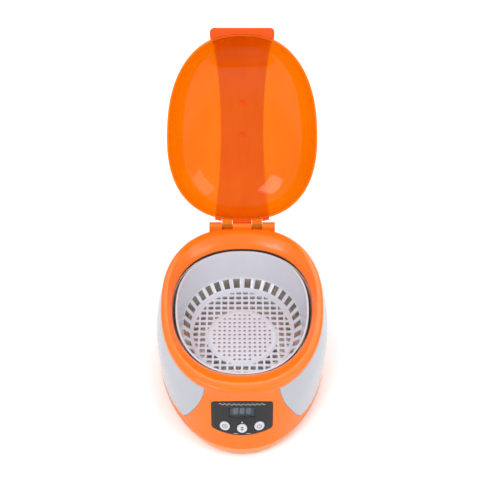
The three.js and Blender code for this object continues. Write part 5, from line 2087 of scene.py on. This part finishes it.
    def tab(self) -> Piece:
        """Make the finger tab past the lid's front edge.

        Returns:
            The piece.
        """
        egg = self.egg
        front = float(egg.centre - egg.half_length)
        half, reach = self.strap_front, self.tab_reach
        back, nose = front + self.tab_root, front - reach + 1
        corners = [(-half, back), (-half, nose), (half, nose), (half, back)]
        outline = counted(rounded(corners, self.tab_corner, 8))

        def lift(points: Array, depth: float) -> Array:
            """Turn x, y and a height into points."""
            return np.column_stack([points, np.full(len(points), depth)])

        sheet = prism_sheet(outline, self.rim_z + self.gap, self.rim_z + self.tab_thickness, lift)
        tab = Piece("lid_tab", sheet, self.place)
        angles = egg.spread(0, 2 * math.pi, 120)[:-1]
        flat = egg.grown(self.gap + 0.6).points(angles)
        rings = [np.column_stack([flat, np.full(len(flat), z)]) for z in (-12.0, 10.0)]
        tab.joined(Piece("tab_tool", Sheet().body(rings), self.place), "DIFFERENCE")
        return tab.eased(0.8, 3, 50)

    def lugs(self) -> Sheet:
        """Make the two lugs that reach from the dome to the pin.

        Returns:
            The sheet.
        """
        reach = 9.2
        sheet = Sheet()
        start = math.pi + math.asin(-self.rim_z / self.lug_radius)
        turn = np.linspace(start, 2 * math.pi + 2, 22)
        arc = np.column_stack([self.lug_radius * np.cos(turn), self.lug_radius * np.sin(turn)])
        outline = np.vstack([[(-reach, self.rim_z)], arc, [(-reach, 5.0)]])
        for side in (-1, 1):
            ends = sorted((side * self.lug_near, side * self.lug_far))

            def lift(points: Array, depth: float) -> Array:
                """Turn y, z and a place along X into points."""
                return np.column_stack([np.full(len(points), depth), points])

            sheet.take(prism_sheet(outline, ends[0], ends[1], lift))
        return sheet

    def build(self, finishes: Finishes) -> None:
        """Make and dress the lid.

        Args:
            finishes: The cleaner's finishes.
        """
        shell = Piece("lid_shell", self.shell(), self.place).thick(self.wall).eased(0.5, 3, 55)
        shell.smooth(40).dressed(finishes["clear_lid"], "lid", "clear_orange", ["lid_dome"])
        lugs = Piece("lid_lugs", self.lugs(), self.place).eased(0.4, 3, 50)
        lugs.smooth(35).dressed(finishes["clear_lid"], "lid", "clear_orange", ["lid_dome"])
        strap = Piece("lid_band", self.strap(), self.place)
        strap.thick(self.strap_thickness, True)
        for side in (-1, 1):
            ends = sorted((side * (self.lug_near - 0.4), side * (self.lug_far + 0.4)))
            notch = box_sheet((ends[0], -15.4, self.rim_z - 2), (ends[1], 4, 6.4))
            strap.joined(Piece("notch_tool", notch, self.place), "DIFFERENCE")
        strap.eased(0.7, 3, 55)
        strap.smooth(38).dressed(finishes["clear_strap"], "lid", "clear_orange", ["lid_strap"])
        self.tab().smooth(35).dressed(
            finishes["clear_strap"], "lid", "clear_orange", ["lid_strap"]
        )


# ---------------------------------------------------------------- the console


class Segment(Enum):
    """The bars of a seven-segment digit: middle across, middle up, and whether it stands."""

    TOP = (0.0, 1.0, False)
    MIDDLE = (0.0, 0.0, False)
    FOOT = (0.0, -1.0, False)
    UPPER_LEFT = (-1.0, 0.5, True)
    UPPER_RIGHT = (1.0, 0.5, True)
    LOWER_LEFT = (-1.0, -0.5, True)
    LOWER_RIGHT = (1.0, -0.5, True)


@dataclass
class Console:
    """The black control panel with its display window, digits, marks and three buttons."""

    form: BodyForm
    setting: Setting
    housing: Housing
    proud: float = 0.2
    depth: float = 1.4
    window_width: float = 24.4
    window_height: float = 9.2
    window_drop: float = 12.9
    button_radius: float = 4.85
    button_clearance: float = 0.35
    button_depth: float = 7.0
    button_spacing: float = 16.6
    side_drop: float = 28.3
    middle_drop: float = 30.1
    digit_height: float = 5.6
    digit_width: float = 2.9
    digit_pitch: float = 6.2
    digit_depth: float = 3.32
    bar: float = 0.75
    wave_half_width: float = 22.0
    wave_pitch: float = 4.4
    wave_height: float = 0.85

    @property
    def height(self) -> float:
        """The height of the fascia."""
        return self.form.console()[1]

    @property
    def place(self) -> PlaneFrame:
        """The console's frame."""
        return self.form.console()[0]

    @property
    def window_v(self) -> float:
        """The middle of the window, up the slope."""
        return self.height / 2 - self.window_drop

    def button_places(self) -> dict[str, tuple[float, float]]:
        """Give the buttons' middles by name."""
        side = self.height / 2 - self.side_drop
        return {
            "left": (-self.button_spacing, side),
            "middle": (0.0, self.height / 2 - self.middle_drop),
            "right": (self.button_spacing, side),
        }

    def draped(
        self, outline: Array, holes: Sequence[Array], low: float, high: float, spacing: float
    ) -> Sheet:
        """Make a plate that follows the console's curve.

        Args:
            outline: Its edge in u and v.
            holes: Outlines of its holes.
            low: Where its back lies, from the wall.
            high: Where its face lies.
            spacing: How fine it is.

        Returns:
            The closed sheet.
        """
        points, faces = filled(outline, holes, spacing)
        sheet = Sheet()
        front = self.form.on_wall(self.place, points[:, 0], points[:, 1], high)
        back = self.form.on_wall(self.place, points[:, 0], points[:, 1], low)
        size = len(points)
        edges: dict[tuple[int, int], int] = {}
        for face in faces:
            for a, b in zip(face, face[1:] + face[:1]):
                edges[(a, b)] = edges.get((a, b), 0) + 1
        sides = [(b, a, a + size, b + size) for a, b in edges if (b, a) not in edges]
        under = [tuple(index + size for index in face[::-1]) for face in faces]
        sheet.add(np.vstack([front, back]), [*faces, *sides, *under])
        return sheet

    def cap(self, u: float, v: float) -> Sheet:
        """Make a button's cap and plunger.

        Args:
            u: Its middle across the console.
            v: Its middle up the slope.

        Returns:
            The sheet.
        """
        sheet = Sheet()
        radius = self.button_radius
        rows = [(0.25, 0.95), (0.5, 0.98), (0.72, 1.03), (0.84, 1.1), (0.9, 1.16), (0.95, 1.12)]
        rows += [(0.985, 1.0), (1.0, 0.8), (1.0, 0.4)]
        rings = []
        for share, rise in rows:
            ring = circle(u, v, radius * share, 48)
            rings.append(self.form.on_wall(self.place, ring[:, 0], ring[:, 1], rise))
        depths = [(1.0, -self.button_depth + 0.4), (0.95, -self.button_depth)]
        depths += [(0.34, -self.button_depth), (0.34, -7.75)]
        for share, depth in depths:
            ring = circle(u, v, radius * share, 48)
            rings.append(self.place.at(ring[:, 0], ring[:, 1], depth))
        sheet.strip(rings[::-1], True)
        sheet.cap(rings[0], True)
        sheet.cap(rings[-1], False)
        return sheet

    def ink(self, outline: Array, holes: Sequence[Array], rise: float) -> Sheet:
        """Make a thin printed mark.

        Args:
            outline: Its edge in u and v.
            holes: Outlines of its holes.
            rise: How far its face lies outside the wall.

        Returns:
            The sheet.
        """
        return self.draped(outline, holes, rise - 0.05, rise, 2.0)

    @staticmethod
    def stroke(line: Array, width: float) -> Array:
        """Give a line a width.

        Args:
            line: Its points.
            width: The width.

        Returns:
            The outline.
        """
        away = np.gradient(line, axis=0)
        side = np.column_stack([-away[:, 1], away[:, 0]])
        side = side / np.linalg.norm(side, axis=1, keepdims=True) * width / 2
        return counted(np.vstack([line + side, (line - side)[::-1]]))

    def icons(self, name: str, u: float, v: float) -> list[tuple[Array, list[Array]]]:
        """Draw a plain sign for a button: a timer, up and down arrows, or a power sign.

        Args:
            name: Which button.
            u: Its middle across the console.
            v: Its middle up the slope.

        Returns:
            Outlines with their holes.
        """
        if name == "left":
            hands = np.array([(u - 0.05, v + 1.3), (u, v), (u + 0.9, v - 0.5)])
            face = (circle(u, v, 2.5, 40), [circle(u, v, 2.0, 36)])
            return [face, (self.stroke(hands, 0.45), [])]
        if name == "middle":
            up = np.array([(u - 1.5, v + 0.5), (u + 1.5, v + 0.5), (u, v + 2.4)])
            down = np.array([(u - 1.5, v - 0.5), (u, v - 2.4), (u + 1.5, v - 0.5)])
            return [(counted(up), []), (counted(down), [])]
        turn = np.linspace(math.radians(125), math.radians(415), 30)
        arc = np.column_stack([u + 2.1 * np.cos(turn), v - 0.2 + 2.1 * np.sin(turn)])
        bar = np.array([(u, v + 0.3), (u, v + 1.4), (u, v + 2.5)])
        return [(self.stroke(arc, 0.5), []), (self.stroke(bar, 0.5), [])]

    def digits(self) -> Sheet:
        """Make the bars of the three digits on the display.

        Returns:
            The sheet.
        """
        sheet = Sheet()
        face = -self.digit_depth

        def lift(outline: Array, depth: float) -> Array:
            """Set u, v and a depth in the console's frame."""
            return self.place.at(outline[:, 0], outline[:, 1], depth)

        for column in (-1, 0, 1):
            for segment in Segment:
                across, up, stands = segment.value
                u = column * self.digit_pitch + across * self.digit_width / 2
                v = self.window_v + up * self.digit_height / 2
                run = (self.digit_height / 2 if stands else self.digit_width) - self.bar * 0.9
                half, tip = self.bar / 2, run / 2
                hexagon = [(-tip, 0.0), (-tip + half, -half), (tip - half, -half)]
                hexagon += [(tip, 0.0), (tip - half, half), (-tip + half, half)]
                outline = np.array(hexagon)
                if stands:
                    outline = outline[:, ::-1]
                outline = outline + np.array([u, v]) + np.array([0.09 * (v - self.window_v), 0])
                sheet.take(prism_sheet(outline, face - 0.05, face, lift))
        return sheet

    def marks(self) -> Sheet:
        """Make the printed marks of the fascia: a wave line, a dot and two dashes.

        Returns:
            The sheet.
        """
        sheet = Sheet()
        rise = self.proud + 0.04
        top = self.height / 2
        across = np.linspace(-self.wave_half_width, self.wave_half_width, 161)
        swing = np.sin(across * 2 * math.pi / self.wave_pitch)
        wave = top - 3.6 - 0.0022 * across**2 + self.wave_height * swing
        outlines = [self.stroke(np.column_stack([across, wave]), 0.42)]
        foot = np.linspace(-6, 6, 13)
        for part in (-6.0, 6.0):
            line = np.column_stack([foot * 0.36 + part, np.full(13, -top + 1.7)])
            outlines.append(self.stroke(line, 0.5))
        outlines.append(circle(0, self.height / 2 - self.middle_drop + 6.6, 0.75, 24))
        for outline in outlines:
            sheet.take(self.ink(outline, [], rise))
        return sheet

    def build(self, finishes: Finishes) -> None:
        """Make and dress the console's pieces.

        Args:
            finishes: The cleaner's finishes.
        """
        place = self.setting.body
        gap = self.housing.gap
        window = rectangle(
            0, self.window_v, self.window_width + 2 * gap, self.window_height + 2 * gap, 0.8
        )
        holes = [window]
        for u, v in self.button_places().values():
            holes.append(circle(u, v, self.button_radius + self.button_clearance, 56))
        outline = self.housing.fascia_outline(0.0)
        plate = Piece(
            "fascia_film", self.draped(outline, holes, -self.depth, self.proud, 2.4), place
        )
        plate.eased(0.15, 2, 60).smooth(30).dressed(
            finishes["panel_film"], "body", "panel_film", ["control_panel"]
        )
        glass = rectangle(0, self.window_v, self.window_width, self.window_height, 0.6)
        pane = Piece("window_pane", self.draped(glass, [], -1.2, self.proud - 0.1, 2.4), place)
        pane.smooth(30).dressed(
            finishes["window_clear"], "body", "window_clear", ["display_window"]
        )
        # The digits' finish carries a painted glow
        Piece("display_digits", self.digits(), place).smooth(30).dressed(
            finishes["segment_grey_painted_glow"], "body", "display_face"
        )
        Piece("fascia_marks", self.marks(), place).smooth(30).dressed(
            finishes["film_ink"], "body", "panel_film"
        )
        for name, (u, v) in self.button_places().items():
            cap = Piece(f"key_cap_{name}", self.cap(u, v), place).smooth(40)
            cap.dressed(
                finishes["button_white"], f"key_{name}", "button_plastic", [f"button_{name}"]
            )
            sign = Sheet()
            for outline, gaps in self.icons(name, u, v):
                sign.take(self.ink(outline, gaps, 1.07))
            Piece(f"key_sign_{name}", sign, place).smooth(30).dressed(
                finishes["button_ink"], f"key_{name}", "button_plastic"
            )


# ---------------------------------------------------------------- carried-over nodes


class Fittings:
    """Finishes for the CAD nodes that stay as they are."""

    RECIPES = (
        ("foot_", "foot_rubber"),
        ("cover_screw_", "screw_steel"),
        ("clamp_screw_", "screw_steel"),
        ("board_screw_", "screw_steel"),
        ("tank_gasket", "seal_rubber"),
        ("tank_clamp_", "bare_aluminium"),
        ("transducer_plate", "bare_aluminium"),
        ("transducer_lead", "red_lead"),
        ("piezo_disc", "piezo_ceramic"),
        ("driver_board", "board_laminate"),
        ("control_board", "board_laminate"),
        ("transformer", "transformer_core"),
        ("heat_sink", "bare_aluminium"),
        ("power_transistor", "black_plastic"),
        ("filter_capacitor", "black_plastic"),
        ("fuse", "fuse_sleeve"),
        ("inlet_socket", "black_plastic"),
        ("inlet_pin_", "pin_brass"),
        ("hinge_pin", "screw_steel"),
        # The display face's finish carries a painted glow
        ("display_module", "display_grey_painted_glow"),
        ("switch_", "black_plastic"),
        ("strap_stud_", "clear_strap"),
    )

    def dress(self, finishes: Finishes) -> None:
        """Give each carried-over node its finish and smooth its rounds.

        Args:
            finishes: The cleaner's finishes.
        """
        for name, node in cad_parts.items():
            if node.hide_render:
                continue
            for start, finish in self.RECIPES:
                if name.startswith(start):
                    node.data.materials.clear()
                    node.data.materials.append(finishes[finish])
                    mesh = node.data
                    mesh.polygons.foreach_set("use_smooth", [True] * len(mesh.polygons))
                    mesh.set_sharp_from_angle(angle=math.radians(32))
                    LOG.info("%s: dressed in %s", name, finish)
                    break


# ---------------------------------------------------------------- the studio


@dataclass
class Studio:
    """A plain pale floor, soft light and the camera."""

    floor_size: float = 24.0
    lens: float = 67.58
    eye: tuple[float, float, float] = (0.0, -0.6654, 0.7560)
    target: tuple[float, float, float] = (0.0, -0.06663, 0.1976)
    shift: float = -0.0044

    def floor(self) -> None:
        """Lay the floor."""
        half = self.floor_size / 2
        paint = Paint("pale_floor")
        tone = paint.mixed(paint.noise(3.0, 2.0), (0.93, 0.93, 0.93), (0.9, 0.9, 0.9))
        material = paint.finish(paint.surface({"Base Color": tone, "Roughness": 0.85}))
        mesh = bpy.data.meshes.new("studio_floor")
        corners = [(-half, -half, 0), (half, -half, 0), (half, half, 0), (-half, half, 0)]
        mesh.from_pydata(corners, [], [(0, 1, 2, 3)])
        mesh.materials.append(material)
        floor = bpy.data.objects.new("studio_floor", mesh)
        bpy.context.scene.collection.objects.link(floor)

    def lamp(self, name: str, place: Sequence[float], size: float, power: float) -> None:
        """Hang a soft square lamp that faces the cleaner.

        Args:
            name: Its name.
            place: Where it hangs.
            size: Its side.
            power: Its power.
        """
        light = bpy.data.lights.new(name, "AREA")
        light.shape = "SQUARE"
        light.size = size
        light.energy = power
        lamp = bpy.data.objects.new(name, light)
        lamp.location = place
        aim = Vector((0, 0, 0.1)) - Vector(place)
        lamp.rotation_euler = aim.to_track_quat("-Z", "Y").to_euler()
        bpy.context.scene.collection.objects.link(lamp)

    def sky(self, strength: float) -> None:
        """Fill the room with even white light.

        Args:
            strength: How bright it is.
        """
        world = bpy.data.worlds.new("studio_room")
        world.use_nodes = True
        background = world.node_tree.nodes["Background"]
        background.inputs["Color"].default_value = (1, 1, 1, 1)
        background.inputs["Strength"].default_value = strength
        bpy.context.scene.world = world

    def camera(self) -> None:
        """Set the camera up."""
        data = bpy.data.cameras.new("studio_camera")
        data.lens = self.lens
        data.sensor_width = 36.0
        data.shift_x = self.shift
        data.clip_start = 0.01
        camera = bpy.data.objects.new("studio_camera", data)
        camera.location = self.eye
        aim = Vector(self.target) - Vector(self.eye)
        camera.rotation_euler = aim.to_track_quat("-Z", "Y").to_euler()
        bpy.context.scene.collection.objects.link(camera)
        bpy.context.scene.camera = camera

    def build(self) -> None:
        """Set up the whole studio."""
        self.floor()
        self.sky(0.85)
        self.lamp("key_lamp", (-0.9, -0.9, 1.6), 0.9, 16.0)
        self.lamp("fill_lamp", (1.1, -0.5, 1.2), 0.9, 8.0)
        self.lamp("rear_lamp", (0.2, 1.4, 1.3), 1.0, 10.0)
        self.camera()
        bpy.context.scene.view_settings.view_transform = "Standard"


def main() -> None:
    """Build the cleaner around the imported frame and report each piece."""
    logging.basicConfig(level=logging.INFO, format="%(name)s %(message)s")
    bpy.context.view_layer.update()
    form = BodyForm()
    setting = Setting(form.rear - 2.1, form.rim_height + 3.0)
    finishes = Finishes()
    Studio().build()
    housing = Housing(form, setting)
    vessel = Vessel(form)
    for assembly in (
        housing,
        HingeBlock(form, setting),
        BottomCover(form, setting, housing),
        Tank(vessel, setting),
        Basket(vessel, setting),
        Lid(setting),
        Console(form, setting, housing),
    ):
        assembly.build(finishes)
    Fittings().dress(finishes)


if __name__ == "__main__":
    main()
